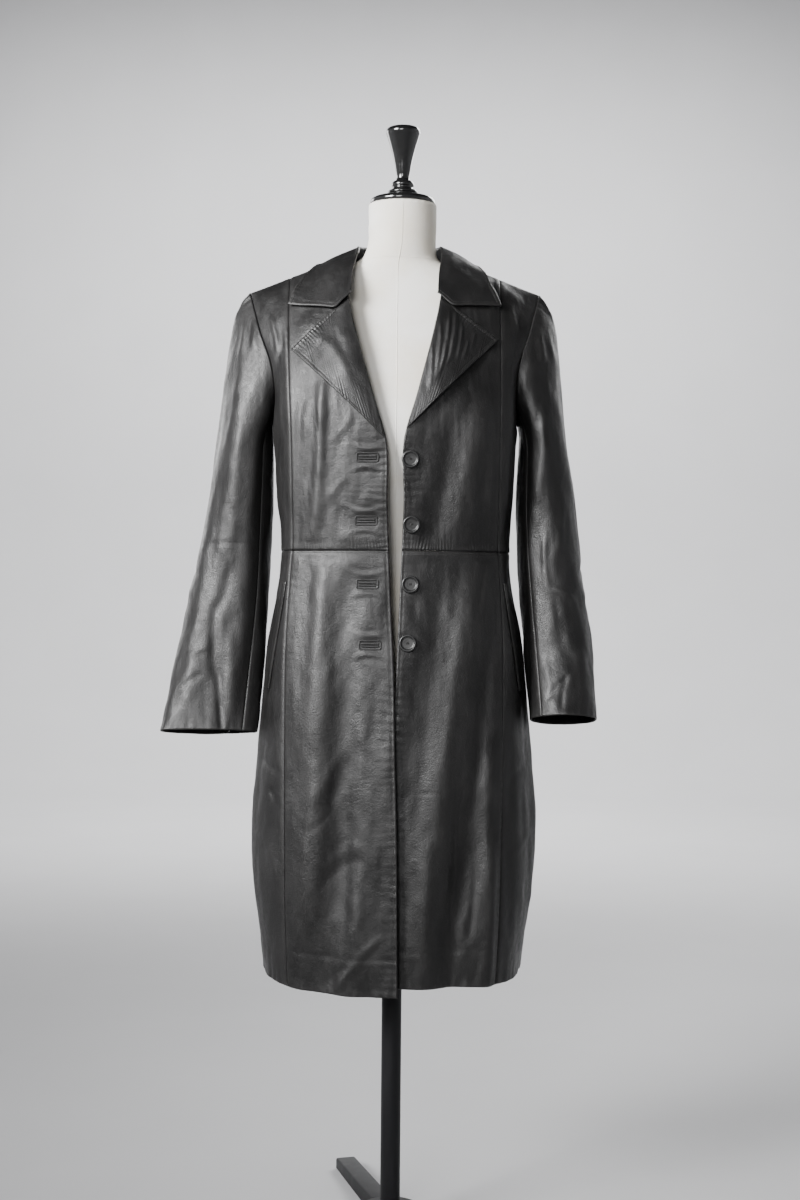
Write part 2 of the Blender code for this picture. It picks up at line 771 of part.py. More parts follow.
def build_cloth():
    """All sewn panels, with mitred seams, then collar and lapels on top."""
    sewn = {name: grid_of(rows) for name, rows in {**body_sheets(), **sleeve_sheets()}.items()}
    normals = {}
    for name, grid in sewn.items():
        normals[name] = sheet_normals(grid, -1 if name.startswith("back") else 1)
    shared_normals({name: grid for name, grid in sewn.items() if "sleeve" in name}, normals)
    shared_normals({name: grid for name, grid in sewn.items() if "sleeve" not in name}, normals)
    for name, grid in sewn.items():
        if "bodice" in name:
            shoulder_normals(grid, normals[name])
        gap = SLEEVE_SEAM_GAP if "sleeve" in name else SEAM_GAP
        build_wall(name, *wall_sides(grid, normals[name], gap))
    collar = grid_of(collar_sheet())
    build_wall("collar", *wall_sides(collar, sheet_normals(collar, -1)))
    for side in SIDES:
        lapel = grid_of(lapel_sheet(side))
        build_wall("lapel_" + side, *wall_sides(lapel, sheet_normals(lapel, 1)))
        build_welt(side, sewn["side_skirt_" + side], normals["side_skirt_" + side])


def on_grid(grid, row, column):
    """A place between the points of a grid."""
    i = min(int(row), grid.shape[0] - 2)
    j = min(int(column), grid.shape[1] - 2)
    s, t = row - i, column - j
    low = blend(grid[i, j], grid[i, j + 1], t)
    high = blend(grid[i + 1, j], grid[i + 1, j + 1], t)
    return blend(low, high, s)


def build_welt(side, grid, normals):
    """The pocket's strip, made from the side panel's own points and moved out."""
    points = []
    outs = []
    for i in range(POCKET_ROWS + 1):
        down = i / POCKET_ROWS
        z = blend(POCKET_TOP_Z, POCKET_FOOT_Z, down)
        row = (z - HEM_Z) / (WAIST_Z - HEM_Z) * SKIRT_ROWS
        near = blend(POCKET_TOP_SHARE, POCKET_FOOT_SHARE, down)
        shares = (near, near + POCKET_WIDTH_SHARE)
        if SIDES[side] < 0:
            shares = (1 - shares[1], 1 - shares[0])
        line = [on_grid(grid, row, share * SIDE_COLUMNS) for share in counted(*shares, 2)]
        points.append(line)
        outs.append([on_grid(normals, row, share * SIDE_COLUMNS) for share in counted(*shares, 2)])
    points = np.array(points)
    outs = np.array(outs)
    inner = points + outs * WELT_CLEARANCE
    build_wall("pocket_welt_" + side, inner + outs * TRIM_WALL, inner)


def front_place(side, x, z):
    """A point of the front panel with its folds and step, and the way it faces."""
    def place(dx, dz):
        inner = FRONT_EDGE[side].at(z + dz).inset
        x_seam = TORSO.at(z + dz).x_front
        share = (abs(x) + dx - inner) / (x_seam - inner)
        point = ring_point("front", side, share, z + dz, inner)
        return settled(Vector((point.x * SIDES[side], point.y, point.z)))

    step = 0.004
    across = place(step, 0) - place(-step, 0)
    up = place(0, step) - place(0, -step)
    facing = across.cross(up).normalized()
    return place(0, 0), facing if facing.y < 0 else -facing


def facing_matrix(point, facing):
    """Local +Z out of the panel, local +X across it, local +Y up it."""
    up = (Vector((0, 0, 1)) - facing * facing.z).normalized()
    across = up.cross(facing)
    return Matrix.Translation(point) @ Matrix((across, up, facing)).transposed().to_4x4()


def turned(profile, segments):
    """A closed solid turned about Z from radius and height pairs, bottom to top."""
    bm = bmesh.new()
    points = [(0, profile[0][1]), *profile, (0, profile[-1][1])]
    verts = [bm.verts.new((radius, 0, height)) for radius, height in points]
    edges = [bm.edges.new(pair) for pair in zip(verts, verts[1:])]
    bmesh.ops.spin(bm, geom=verts + edges, axis=(0, 0, 1), angle=math.tau, steps=segments, use_merge=True)
    bmesh.ops.remove_doubles(bm, verts=bm.verts[:], dist=1e-6)
    return bm


def build_buttons():
    profile = [
        # radius, height
        (BUTTON_RADIUS * 0.88, 0.0),
        (BUTTON_RADIUS, BUTTON_THICKNESS * 0.35),
        (BUTTON_RADIUS, BUTTON_THICKNESS * 0.65),
        (BUTTON_RADIUS * 0.90, BUTTON_THICKNESS),
        (BUTTON_RADIUS * 0.76, BUTTON_THICKNESS * 0.80),
    ]
    for number, (x, z) in enumerate(BUTTONS, 1):
        point, facing = front_place("left", x, z)
        bm = turned(profile, BUTTON_SEGMENTS)
        bm.transform(facing_matrix(point + facing * TRIM_CLEARANCE, facing))
        keep(f"button_{number}", bm, "button")


def build_buttonholes():
    half = (BUTTONHOLE_LENGTH / 2, BUTTONHOLE_HEIGHT / 2)
    slit = (half[0] - BUTTONHOLE_END, BUTTONHOLE_SLIT / 2)
    around = ((-1, -1), (1, -1), (1, 1), (-1, 1))
    for number, (x, z) in enumerate(BUTTONHOLES, 1):
        bm = bmesh.new()
        rings = []
        for size in (half, slit):
            rings.append([bm.verts.new((sx * size[0], sy * size[1], 0)) for sx, sy in around])
        for k in range(len(around)):
            outer_a, inner_a = rings[0][k - 1], rings[1][k - 1]
            outer_b, inner_b = rings[0][k], rings[1][k]
            bm.faces.new((outer_a, outer_b, inner_b, inner_a))
        grown = bmesh.ops.extrude_face_region(bm, geom=bm.faces[:])["geom"]
        raised = [item for item in grown if isinstance(item, bmesh.types.BMVert)]
        bmesh.ops.translate(bm, verts=raised, vec=(0, 0, TRIM_WALL))
        point, facing = front_place("right", x, z)
        bm.transform(facing_matrix(point + facing * TRIM_CLEARANCE, facing))
        keep(f"buttonhole_{number}", bm, "leather")


def build_form():
    """The torso from stacked rings, closed at the bottom plate and at the neck top."""
    bm = bmesh.new()
    rings = []
    spans = len(FORM.keys) - 1
    for z in np.interp(counted(0, spans, spans * FORM_RINGS_A_ROW), range(spans + 1), FORM.keys):
        section = FORM.at(z)
        lean = NECK_LEAN * ramp(z, NECK_BASE_Z, NECK_LEAN_FULL_Z)
        ring = []
        for k in range(FORM_SEGMENTS):
            angle = math.tau * k / FORM_SEGMENTS
            across, deep = math.cos(angle), math.sin(angle)
            size = (abs(across) ** section.power + abs(deep) ** section.power) ** (-1 / section.power)
            depth = section.y_back if deep > 0 else -section.y_front
            ring.append(bm.verts.new((across * size * section.half_width + lean, deep * size * depth, z)))
        rings.append(ring)
    for low, high in zip(rings, rings[1:]):
        for k in range(FORM_SEGMENTS):
            after = (k + 1) % FORM_SEGMENTS
            bm.faces.new((low[k], low[after], high[after], high[k]))
    bm.faces.new(rings[0])
    bm.faces.new(rings[-1])
    keep("form_torso", bm, "canvas")


def build_turned(name, profile, look, x, z):
    bm = turned(profile, TURNED_SEGMENTS)
    bm.transform(Matrix.Translation((x, 0, z)))
    keep(name, bm, look)


def build_stand():
    build_turned("neck_cap", CAP_PROFILE, "lacquer", NECK_LEAN, FORM_TOP_Z + SEAM_GAP)
    build_turned("finial", FINIAL_PROFILE, "lacquer", NECK_LEAN, FORM_TOP_Z + SEAM_GAP)
    pole = [
        # radius, height
        (POLE_RADIUS, HUB_HEIGHT + SEAM_GAP),
        (POLE_RADIUS, FORM_BOTTOM_Z - SEAM_GAP),
    ]
    hub = [
        # radius, height
        (HUB_RADIUS, 0),
        (HUB_RADIUS, HUB_HEIGHT - HUB_CHAMFER),
        (HUB_RADIUS - HUB_CHAMFER, HUB_HEIGHT),
    ]
    build_turned("pole", pole, "metal", 0, 0)
    build_turned("base_hub", hub, "metal", 0, 0)
    start = HUB_RADIUS + SEAM_GAP
    for number, angle in enumerate(LEG_ANGLES, 1):
        bm = bmesh.new()
        bmesh.ops.create_cube(bm, size=1)
        for vert in bm.verts:
            toe = vert.co.x > 0
            top = LEG_TOE_HEIGHT if toe else LEG_HEIGHT
            vert.co.x = LEG_REACH if toe else start
            vert.co.y *= LEG_WIDTH
            vert.co.z = top if vert.co.z > 0 else 0
        bm.transform(Matrix.Rotation(math.radians(angle), 4, "Z"))
        keep(f"base_leg_{number}", bm, "metal")


def main():
    for obj in list(bpy.data.objects):
        bpy.data.objects.remove(obj)
    build_cloth()
    build_buttons()
    build_buttonholes()
    build_form()
    build_stand()


main()
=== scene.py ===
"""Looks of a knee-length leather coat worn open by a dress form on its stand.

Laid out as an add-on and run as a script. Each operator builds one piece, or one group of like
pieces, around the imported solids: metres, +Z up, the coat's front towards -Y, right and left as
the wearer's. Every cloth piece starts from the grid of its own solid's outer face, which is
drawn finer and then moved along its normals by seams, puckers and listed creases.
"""

import json
import math
from types import SimpleNamespace

import bmesh
import bpy
import numpy as np
from bpy.props import FloatProperty, FloatVectorProperty, IntProperty, PointerProperty
from mathutils import Matrix, Vector
from mathutils.bvhtree import BVHTree

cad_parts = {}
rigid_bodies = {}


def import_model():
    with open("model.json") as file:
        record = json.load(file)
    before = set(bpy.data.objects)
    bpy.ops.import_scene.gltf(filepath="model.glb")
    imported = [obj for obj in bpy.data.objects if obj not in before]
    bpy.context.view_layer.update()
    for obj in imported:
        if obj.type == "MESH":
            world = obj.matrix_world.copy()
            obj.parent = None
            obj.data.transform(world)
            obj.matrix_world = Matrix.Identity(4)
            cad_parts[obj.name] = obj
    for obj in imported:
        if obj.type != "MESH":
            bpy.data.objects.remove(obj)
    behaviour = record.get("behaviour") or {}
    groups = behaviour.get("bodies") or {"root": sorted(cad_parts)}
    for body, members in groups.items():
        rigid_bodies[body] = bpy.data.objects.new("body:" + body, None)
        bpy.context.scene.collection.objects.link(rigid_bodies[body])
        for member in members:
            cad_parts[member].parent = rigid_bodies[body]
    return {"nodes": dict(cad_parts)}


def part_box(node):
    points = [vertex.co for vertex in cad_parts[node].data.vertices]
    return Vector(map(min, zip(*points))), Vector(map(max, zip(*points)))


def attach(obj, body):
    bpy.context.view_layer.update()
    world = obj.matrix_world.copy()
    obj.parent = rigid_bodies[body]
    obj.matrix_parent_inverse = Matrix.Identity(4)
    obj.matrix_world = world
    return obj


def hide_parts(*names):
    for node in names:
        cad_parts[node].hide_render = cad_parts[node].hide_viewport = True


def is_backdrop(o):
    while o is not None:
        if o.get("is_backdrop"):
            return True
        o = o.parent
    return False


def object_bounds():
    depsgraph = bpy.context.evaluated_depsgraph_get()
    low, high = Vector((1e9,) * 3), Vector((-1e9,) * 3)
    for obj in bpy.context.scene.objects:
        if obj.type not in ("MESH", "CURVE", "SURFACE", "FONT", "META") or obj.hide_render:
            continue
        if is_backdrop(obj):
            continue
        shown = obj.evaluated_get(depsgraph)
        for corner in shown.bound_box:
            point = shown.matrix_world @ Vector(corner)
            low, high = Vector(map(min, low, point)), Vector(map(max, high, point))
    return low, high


bl_info = {
    "name": "Leather coat on a dress form",
    "version": (1, 0, 0),
    "blender": (4, 5, 0),
    "location": "3D View > Sidebar > Coat",
    "description": "Builds the leather, trim, dress form and stage around the packed solids",
    "category": "Object",
}

for leftover in list(bpy.data.objects):
    bpy.data.objects.remove(leftover)
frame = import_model()
CAD_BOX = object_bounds()

SIDES = {"right": -1, "left": 1}

# Reading the solids: their walls, and how near points are one
WALL_OF_LEATHER = 0.0022
WALL_OF_TRIM = 0.0016
MERGE_WITHIN = 1e-6
SEAM_REACH = 0.00012
SLEEVE_SEAM_REACH = 0.00031
ARMHOLE_REACH = 0.006
RIM_TOLERANCE = {WALL_OF_LEATHER: 4e-6, WALL_OF_TRIM: 2e-5}

# Grid of each piece's solid, and the spacing of the finer grid made from it
PANELS = [
    # piece without its side, rows, columns, spacing across, spacing up
    ("front_bodice", 14, 9, 0.0011, 0.0024),
    ("side_bodice", 14, 6, 0.0017, 0.0036),
    ("back_bodice", 14, 15, 0.0034, 0.0046),
    ("front_skirt", 14, 9, 0.0028, 0.0030),
    ("side_skirt", 14, 6, 0.0032, 0.0042),
    ("back_skirt", 14, 15, 0.0042, 0.0050),
]
SLEEVES = [
    ("upper_sleeve", 14, 12, 0.0033, 0.0035),
    ("under_sleeve", 14, 6, 0.0032, 0.0036),
]
NECKWEAR = [
    ("collar", 21, 10, 0.0022, 0.0026),
    ("lapel", 7, 7, 0.0010, 0.0016),
]
WELTS = [
    ("pocket_welt", 7, 3, 0.0012, 0.0022),
]
# Pieces that are cut once, across the middle
UNPAIRED = ("back_bodice", "back_skirt", "collar")
# Extra lines of points next to every edge, measured from it
EDGE_LINES = np.array((0.0, 0.0005, 0.0012, 0.0022, 0.0034, 0.0048, 0.0064))

# Cut of each piece as it lay flat before sewing
CUTS = {
    # piece without its side: width, length, area
    "front_bodice": (0.148, 0.497, 0.0565),
    "side_bodice": (0.124, 0.448, 0.0335),
    "back_bodice": (0.515, 0.478, 0.1880),
    "front_skirt": (0.180, 0.627, 0.1040),
    "side_skirt": (0.144, 0.621, 0.0800),
    "back_skirt": (0.554, 0.620, 0.3120),
    "upper_sleeve": (0.388, 0.670, 0.1420),
    "under_sleeve": (0.122, 0.526, 0.0500),
    "collar": (0.545, 0.135, 0.0475),
    "lapel": (0.120, 0.222, 0.0115),
    "pocket_welt": (0.019, 0.159, 0.0024),
}

# Where the outer faces look away from: the middle of each sleeve, and of the collar's ring
SLEEVE_ACROSS = 0.232
SLEEVE_DEPTH = -0.01
COLLAR_HEIGHT = 1.40
# Columns of the collar's stand, and the share of them kept in the last rows of each front end
STAND_COLUMNS = 3
STAND_KEPT = (0.15, 0.55, 0.85)
# How far a sleeve's top edge is drawn to the armhole
ARMHOLE_SHARE = 0.85

# Edges of a piece: how each is finished
SEWN, SET_IN, TURNED = "sewn", "set in", "turned"
FINISHES = {
    # piece without its side: inner, outer, low, high
    "front_bodice": (TURNED, SEWN, SEWN, SEWN),
    "side_bodice": (SEWN, SET_IN, SEWN, SEWN),
    "back_bodice": (SET_IN, SET_IN, SEWN, SEWN),
    "front_skirt": (TURNED, SEWN, TURNED, SEWN),
    "side_skirt": (SEWN, SEWN, TURNED, SEWN),
    "back_skirt": (SEWN, SEWN, TURNED, SEWN),
    "upper_sleeve": (SEWN, SEWN, TURNED, SET_IN),
    "under_sleeve": (SEWN, SEWN, TURNED, SET_IN),
    "collar": (SEWN, TURNED, TURNED, TURNED),
    "lapel": (TURNED, TURNED, TURNED, SEWN),
    "pocket_welt": (TURNED, TURNED, TURNED, TURNED),
}
EDGE_NAMES = ("inner", "outer", "low", "high")
# How much of a seam's groove shows; where a sleeve is set in, both edges already turn down
SEAM_SHARES = {SEWN: 1.0, SET_IN: 0.15}
# Swells and hollows beside an edge or a row of stitches: distance from it, half width, height
SEAM_SWELLS = [(0.0, 0.0012, -0.0009), (0.006, 0.003, 0.00025)]
TURNED_SWELLS = [(0.0, 0.0008, -0.0009)]
STITCH_SWELLS = [(0.0, 0.0010, -0.0005)]
HEM_SWELLS = [(0.052, 0.0035, -0.00030)]
# A turned edge and a hem are fuller by this much, up to a distance and fading over a width
TURNED_FULLNESS = (0.0003, 0.012, 0.012)
HEM_FULLNESS = (0.00030, 0.052, 0.006)
# Distances over which a seam calms the creases, and a turned edge ends a seam's groove
SEAM_CALM = 0.022
TURNED_CALM = 0.004
# Share of the hide's unevenness on small pieces
CALM_PIECES = {"collar": 0.5, "lapel": 0.5, "pocket_welt": 0.0}
# Wear beside a seam and on a turned edge: distance from it, half width, strength
SEAM_WEAR = [(0.004, 0.003, 0.5)]
TURNED_WEAR = [(0.0, 0.004, 1.0)]
# Height of a crest that is fully worn, and the shares of edges and crests in the wear
WORN_CREST = 0.003
EDGE_WEAR_SHARE = 0.8
CREST_WEAR_SHARE = 0.5

# Closings of the front, counted from the top
CLOSINGS = range(1, 5)
# Flat folds of the leather above and below a buttonhole, bent towards their ends
BUTTONHOLE_FOLDS = [
    # height over its middle, bend, half length, half width, move
    (0.0, 0, 0.017, 0.0065, -0.0009),
    (0.0125, -1, 0.019, 0.0036, 0.0013),
    (0.0190, -1, 0.018, 0.0030, -0.0006),
    (-0.0130, 1, 0.018, 0.0036, 0.0011),
    (-0.0195, 1, 0.017, 0.0030, -0.0006),
]
FOLD_BEND = 0.004
FOLD_BEND_AT = 0.02
BUTTONHOLE_CALM = 0.024
BUTTON_CALM = 0.022
# Half width and depth of the hollow under a button
BUTTON_HOLLOW = (0.016, 0.0006)

# Rows of machine stitches beside an edge
STITCH_ROWS = [
    # piece without its side, edge, distance from it
    ("front_bodice", "inner", 0.0045),
    ("front_skirt", "inner", 0.0045),
    ("front_skirt", "high", 0.0032),
    ("side_skirt", "high", 0.0032),
    ("back_skirt", "high", 0.0032),
    ("lapel", "low", 0.0060),
    ("lapel", "outer", 0.0060),
    ("collar", "outer", 0.0060),
    ("collar", "low", 0.0060),
    ("collar", "high", 0.0060),
    ("pocket_welt", "inner", 0.0022),
]

# How far a stitch's middle stands over the leather, as a share of its radius
STITCH_LIFT = 0.55

# Leather drawn into small ripples by the sewing
PUCKERS = [
    # piece without its side, edge, pitch, reach, depth
    ("front_bodice", "low", 0.0044, 0.010, 0.00080),
    ("side_bodice", "low", 0.0046, 0.009, 0.00060),
    ("back_bodice", "low", 0.0050, 0.010, 0.00070),
    ("front_skirt", "high", 0.0050, 0.007, 0.00040),
    ("back_skirt", "high", 0.0054, 0.008, 0.00040),
    ("lapel", "low", 0.0058, 0.015, 0.00130),
    ("lapel", "outer", 0.0052, 0.009, 0.00060),
    ("collar", "outer", 0.0080, 0.011, 0.00045),
    ("front_bodice", "inner", 0.0090, 0.024, 0.00080),
    ("front_skirt", "inner", 0.0125, 0.015, 0.00050),
    ("front_skirt", "low", 0.0140, 0.020, 0.00080),
    ("side_skirt", "low", 0.0150, 0.018, 0.00080),
    ("back_skirt", "low", 0.0160, 0.020, 0.00080),
    ("upper_sleeve", "low", 0.0120, 0.014, 0.00060),
    ("under_sleeve", "low", 0.0120, 0.012, 0.00050),
    ("upper_sleeve", "high", 0.0120, 0.024, 0.00090),
    ("front_skirt", "outer", 0.0120, 0.009, 0.00035),
]
# How uneven the ripples are, as shares of their pitch or depth, and where they start from the edge
PUCKER_DRIFT = 0.45
PUCKER_STRENGTH = 0.62
PUCKER_UNEVENNESS = 0.5
PUCKER_LEAN = 0.25
PUCKER_FULLNESS = 0.8
PUCKER_START = 0.0015

# Soft troughs and ridges, each on the pieces whose names start as given
FRONT, BACK, RIGHT, LEFT = "front", "back", "right", "left"
VIEWS = {
    # side looked at: which coordinate runs across, and which way that side faces
    FRONT: (0, np.array((0.0, -1.0, 0.0))),
    BACK: (0, np.array((0.0, 1.0, 0.0))),
    RIGHT: (1, np.array((-1.0, 0.0, 0.0))),
    LEFT: (1, np.array((1.0, 0.0, 0.0))),
}
CREASES = {
    # pieces and view: across and height of the start, of the end, bow, width, depth
    ("front_bodice_right", FRONT): [
        (-0.106, 1.255, -0.118, 0.995, 0.003, 0.010, 0.0040),
        (-0.139, 1.220, -0.146, 1.030, 0.000, 0.009, -0.0014),
        (-0.082, 1.175, -0.090, 1.020, 0.006, 0.016, -0.0012),
        (-0.058, 1.200, -0.100, 1.150, 0.004, 0.008, 0.0006),
        (-0.066, 1.108, -0.094, 1.070, -0.003, 0.007, 0.0007),
    ],
    ("front_bodice_left", FRONT): [
        (0.130, 1.235, 0.092, 1.000, -0.004, 0.024, 0.0062),
        (0.078, 1.190, 0.044, 1.000, 0.004, 0.018, -0.0032),
        (0.136, 1.200, 0.132, 1.010, 0.002, 0.005, 0.0009),
        (0.122, 1.150, 0.110, 1.010, 0.003, 0.008, -0.0011),
        (0.096, 1.090, 0.120, 1.035, 0.003, 0.006, 0.0006),
    ],
    ("front_skirt_right", FRONT): [
        (-0.106, 1.010, -0.114, 0.440, 0.004, 0.021, 0.0066),
        (-0.064, 0.990, -0.070, 0.440, -0.004, 0.022, -0.0052),
        (-0.060, 0.900, -0.083, 0.770, 0.003, 0.012, 0.0011),
        (-0.066, 0.740, -0.124, 0.632, 0.007, 0.012, 0.0015),
        (-0.052, 0.730, -0.110, 0.622, 0.007, 0.012, -0.0010),
        (-0.086, 0.634, -0.122, 0.599, 0.003, 0.006, -0.0012),
        (-0.040, 0.570, -0.108, 0.515, -0.008, 0.011, -0.0011),
        (-0.036, 0.590, -0.104, 0.536, -0.008, 0.013, 0.0010),
        (-0.012, 0.462, -0.090, 0.368, -0.004, 0.008, 0.0022),
        (-0.026, 0.440, -0.092, 0.382, -0.004, 0.008, -0.0014),
        (-0.122, 0.600, -0.128, 0.420, 0.003, 0.012, 0.0014),
        (-0.034, 0.850, -0.028, 0.640, 0.002, 0.014, -0.0009),
    ],
    ("front_skirt_left", FRONT): [
        (0.118, 1.010, 0.066, 0.470, -0.006, 0.026, 0.0085),
        (0.070, 0.990, 0.030, 0.560, -0.004, 0.019, -0.0038),
        (0.142, 0.900, 0.104, 0.430, -0.004, 0.017, -0.0045),
        (0.143, 0.590, 0.136, 0.350, 0.002, 0.014, 0.0055),
        (0.044, 0.600, 0.050, 0.350, 0.002, 0.016, 0.0036),
        (0.136, 0.998, 0.119, 0.850, -0.003, 0.005, 0.0013),
        (0.127, 0.998, 0.104, 0.870, 0.003, 0.006, -0.0012),
        (0.143, 0.998, 0.147, 0.860, 0.001, 0.004, -0.0010),
        (0.108, 0.930, 0.096, 0.700, 0.004, 0.008, 0.0010),
        (0.088, 0.760, 0.082, 0.560, -0.004, 0.008, -0.0013),
        (0.024, 0.658, 0.084, 0.657, 0.001, 0.002, -0.0005),
        (0.119, 0.560, 0.103, 0.440, 0.004, 0.006, -0.0018),
        (0.060, 0.520, 0.074, 0.400, 0.003, 0.011, -0.0012),
        (0.026, 0.950, 0.030, 0.760, 0.003, 0.014, -0.0012),
    ],
    ("side_skirt_right", FRONT): [
        (-0.193, 0.702, -0.154, 0.679, -0.003, 0.005, -0.0017),
        (-0.184, 0.663, -0.161, 0.627, 0.003, 0.005, -0.0014),
        (-0.192, 0.600, -0.161, 0.520, 0.004, 0.009, 0.0015),
        (-0.172, 0.780, -0.160, 0.560, 0.003, 0.008, 0.0013),
    ],
    ("side_skirt_left", FRONT): [
        (0.164, 0.667, 0.200, 0.699, 0.003, 0.006, -0.0013),
        (0.168, 0.566, 0.198, 0.600, -0.003, 0.006, 0.0012),
        (0.164, 0.800, 0.178, 0.520, 0.004, 0.008, 0.0014),
        (0.152, 0.995, 0.170, 0.880, -0.003, 0.005, 0.0010),
    ],
    ("side_bodice_right", FRONT): [
        (-0.172, 1.330, -0.160, 1.240, 0.004, 0.008, -0.0016),
        (-0.186, 1.345, -0.172, 1.280, 0.003, 0.006, 0.0013),
    ],
    ("side_bodice_left", FRONT): [
        (0.166, 1.360, 0.180, 1.320, -0.003, 0.006, 0.0015),
        (0.178, 1.350, 0.166, 1.260, 0.003, 0.007, -0.0014),
    ],
    ("side_skirt_right", RIGHT): [
        (-0.036, 0.985, -0.052, 0.420, 0.005, 0.020, 0.0046),
        (0.004, 0.900, 0.000, 0.400, 0.005, 0.018, -0.0034),
    ],
    ("side_skirt_left", LEFT): [
        (-0.030, 0.985, -0.044, 0.400, 0.005, 0.020, 0.0050),
        (0.008, 0.920, 0.006, 0.430, 0.004, 0.018, -0.0034),
    ],
    ("side_bodice_right", RIGHT): [
        (-0.060, 1.120, 0.000, 1.030, 0.004, 0.008, -0.0010),
    ],
    ("side_bodice_left", LEFT): [
        (-0.060, 1.110, 0.000, 1.025, 0.004, 0.008, -0.0010),
    ],
    ("upper_sleeve_right", FRONT): [
        (-0.192, 1.250, -0.216, 0.760, -0.003, 0.026, 0.0070),
        (-0.243, 0.985, -0.264, 0.905, 0.006, 0.010, -0.0030),
        (-0.263, 0.925, -0.256, 0.795, -0.003, 0.010, -0.0034),
        (-0.256, 0.830, -0.251, 0.735, 0.001, 0.008, -0.0026),
        (-0.280, 0.940, -0.300, 0.775, -0.004, 0.016, 0.0026),
        (-0.238, 0.890, -0.232, 0.745, -0.003, 0.011, 0.0020),
        (-0.220, 1.225, -0.238, 0.980, -0.004, 0.013, 0.0022),
        (-0.198, 1.165, -0.212, 0.985, 0.003, 0.010, -0.0016),
        (-0.256, 1.110, -0.276, 0.965, 0.002, 0.009, -0.0012),
        (-0.254, 0.785, -0.250, 0.730, 0.001, 0.003, -0.0018),
        (-0.224, 1.340, -0.231, 1.285, 0.002, 0.006, 0.0018),
        (-0.215, 1.340, -0.220, 1.295, 0.001, 0.005, -0.0016),
        (-0.206, 1.342, -0.210, 1.295, 0.001, 0.005, 0.0016),
        (-0.197, 1.325, -0.202, 1.280, 0.001, 0.004, -0.0013),
        (-0.255, 1.190, -0.172, 1.189, 0.002, 0.003, -0.0006),
        (-0.300, 1.008, -0.206, 1.010, 0.002, 0.003, -0.0006),
        (-0.305, 0.839, -0.271, 0.860, 0.003, 0.005, 0.0012),
        (-0.312, 0.794, -0.276, 0.822, 0.003, 0.005, -0.0012),
        (-0.232, 0.803, -0.206, 0.783, 0.002, 0.004, -0.0010),
    ],
    ("upper_sleeve_left", FRONT): [
        (0.217, 1.030, 0.224, 0.935, -0.003, 0.006, 0.0020),
        (0.226, 0.950, 0.268, 0.922, 0.004, 0.006, 0.0022),
        (0.262, 0.930, 0.281, 0.845, 0.004, 0.008, 0.0016),
        (0.232, 0.935, 0.240, 0.860, 0.004, 0.010, -0.0020),
        (0.245, 1.085, 0.236, 0.990, 0.002, 0.007, 0.0017),
        (0.264, 0.880, 0.276, 0.765, 0.002, 0.012, 0.0024),
        (0.218, 0.785, 0.253, 0.824, 0.003, 0.005, -0.0018),
        (0.239, 0.772, 0.249, 0.826, 0.002, 0.004, -0.0014),
        (0.213, 0.850, 0.226, 0.765, 0.003, 0.008, 0.0014),
        (0.214, 1.220, 0.206, 1.070, 0.003, 0.010, 0.0018),
        (0.232, 1.210, 0.226, 1.080, 0.003, 0.010, -0.0014),
        (0.206, 1.330, 0.214, 1.275, 0.002, 0.005, 0.0014),
        (0.196, 1.325, 0.202, 1.275, 0.002, 0.005, -0.0013),
    ],
    ("upper_sleeve_right", RIGHT): [
        (0.020, 1.300, 0.030, 1.060, 0.006, 0.014, 0.0018),
        (-0.024, 1.280, -0.020, 1.080, 0.004, 0.012, -0.0014),
        (0.050, 1.010, -0.030, 0.960, 0.006, 0.008, -0.0020),
        (0.045, 0.985, -0.025, 0.930, 0.006, 0.009, 0.0016),
        (0.000, 0.930, -0.050, 0.790, 0.004, 0.012, 0.0014),
    ],
    ("upper_sleeve_left", LEFT): [
        (0.024, 1.300, 0.030, 1.080, 0.006, 0.014, 0.0018),
        (-0.020, 1.270, -0.014, 1.070, 0.004, 0.012, -0.0015),
        (0.055, 1.020, -0.035, 0.965, 0.007, 0.008, -0.0022),
        (0.050, 0.992, -0.040, 0.930, 0.007, 0.009, 0.0018),
        (0.000, 0.940, -0.060, 0.800, 0.004, 0.012, 0.0016),
    ],
    ("upper_sleeve", BACK): [
        (-0.226, 1.260, -0.236, 1.060, 0.004, 0.012, 0.0018),
        (-0.214, 1.010, -0.262, 0.985, 0.004, 0.008, -0.0020),
        (-0.216, 0.985, -0.266, 0.950, 0.004, 0.008, 0.0016),
        (0.224, 1.260, 0.230, 1.070, 0.004, 0.012, 0.0017),
        (0.208, 1.020, 0.256, 0.992, -0.004, 0.008, -0.0020),
        (0.210, 0.992, 0.258, 0.958, -0.004, 0.008, 0.0016),
    ],
    ("under_sleeve_right", BACK): [
        (-0.208, 1.080, -0.232, 0.860, 0.003, 0.009, -0.0012),
    ],
    ("under_sleeve_left", BACK): [
        (0.202, 1.080, 0.222, 0.860, 0.003, 0.009, -0.0012),
    ],
    ("back_bodice", BACK): [
        (-0.112, 1.310, -0.082, 1.000, 0.008, 0.023, 0.0052),
        (-0.052, 1.200, -0.046, 1.010, 0.004, 0.014, 0.0012),
        (0.104, 1.290, 0.070, 1.000, -0.007, 0.021, 0.0046),
        (0.012, 1.170, -0.006, 1.000, 0.004, 0.017, 0.0034),
        (0.050, 1.190, 0.040, 1.010, 0.004, 0.014, 0.0013),
        (-0.140, 1.090, -0.070, 1.050, 0.005, 0.007, 0.0010),
        (0.145, 1.085, 0.080, 1.052, -0.005, 0.007, 0.0010),
        (-0.120, 1.058, -0.060, 1.028, 0.004, 0.006, 0.0009),
        (0.118, 1.050, 0.056, 1.026, -0.004, 0.006, 0.0009),
    ],
    ("back_skirt", BACK): [
        (-0.150, 0.980, -0.140, 0.760, 0.004, 0.010, 0.0018),
        (-0.092, 1.010, -0.116, 0.410, 0.008, 0.025, 0.0068),
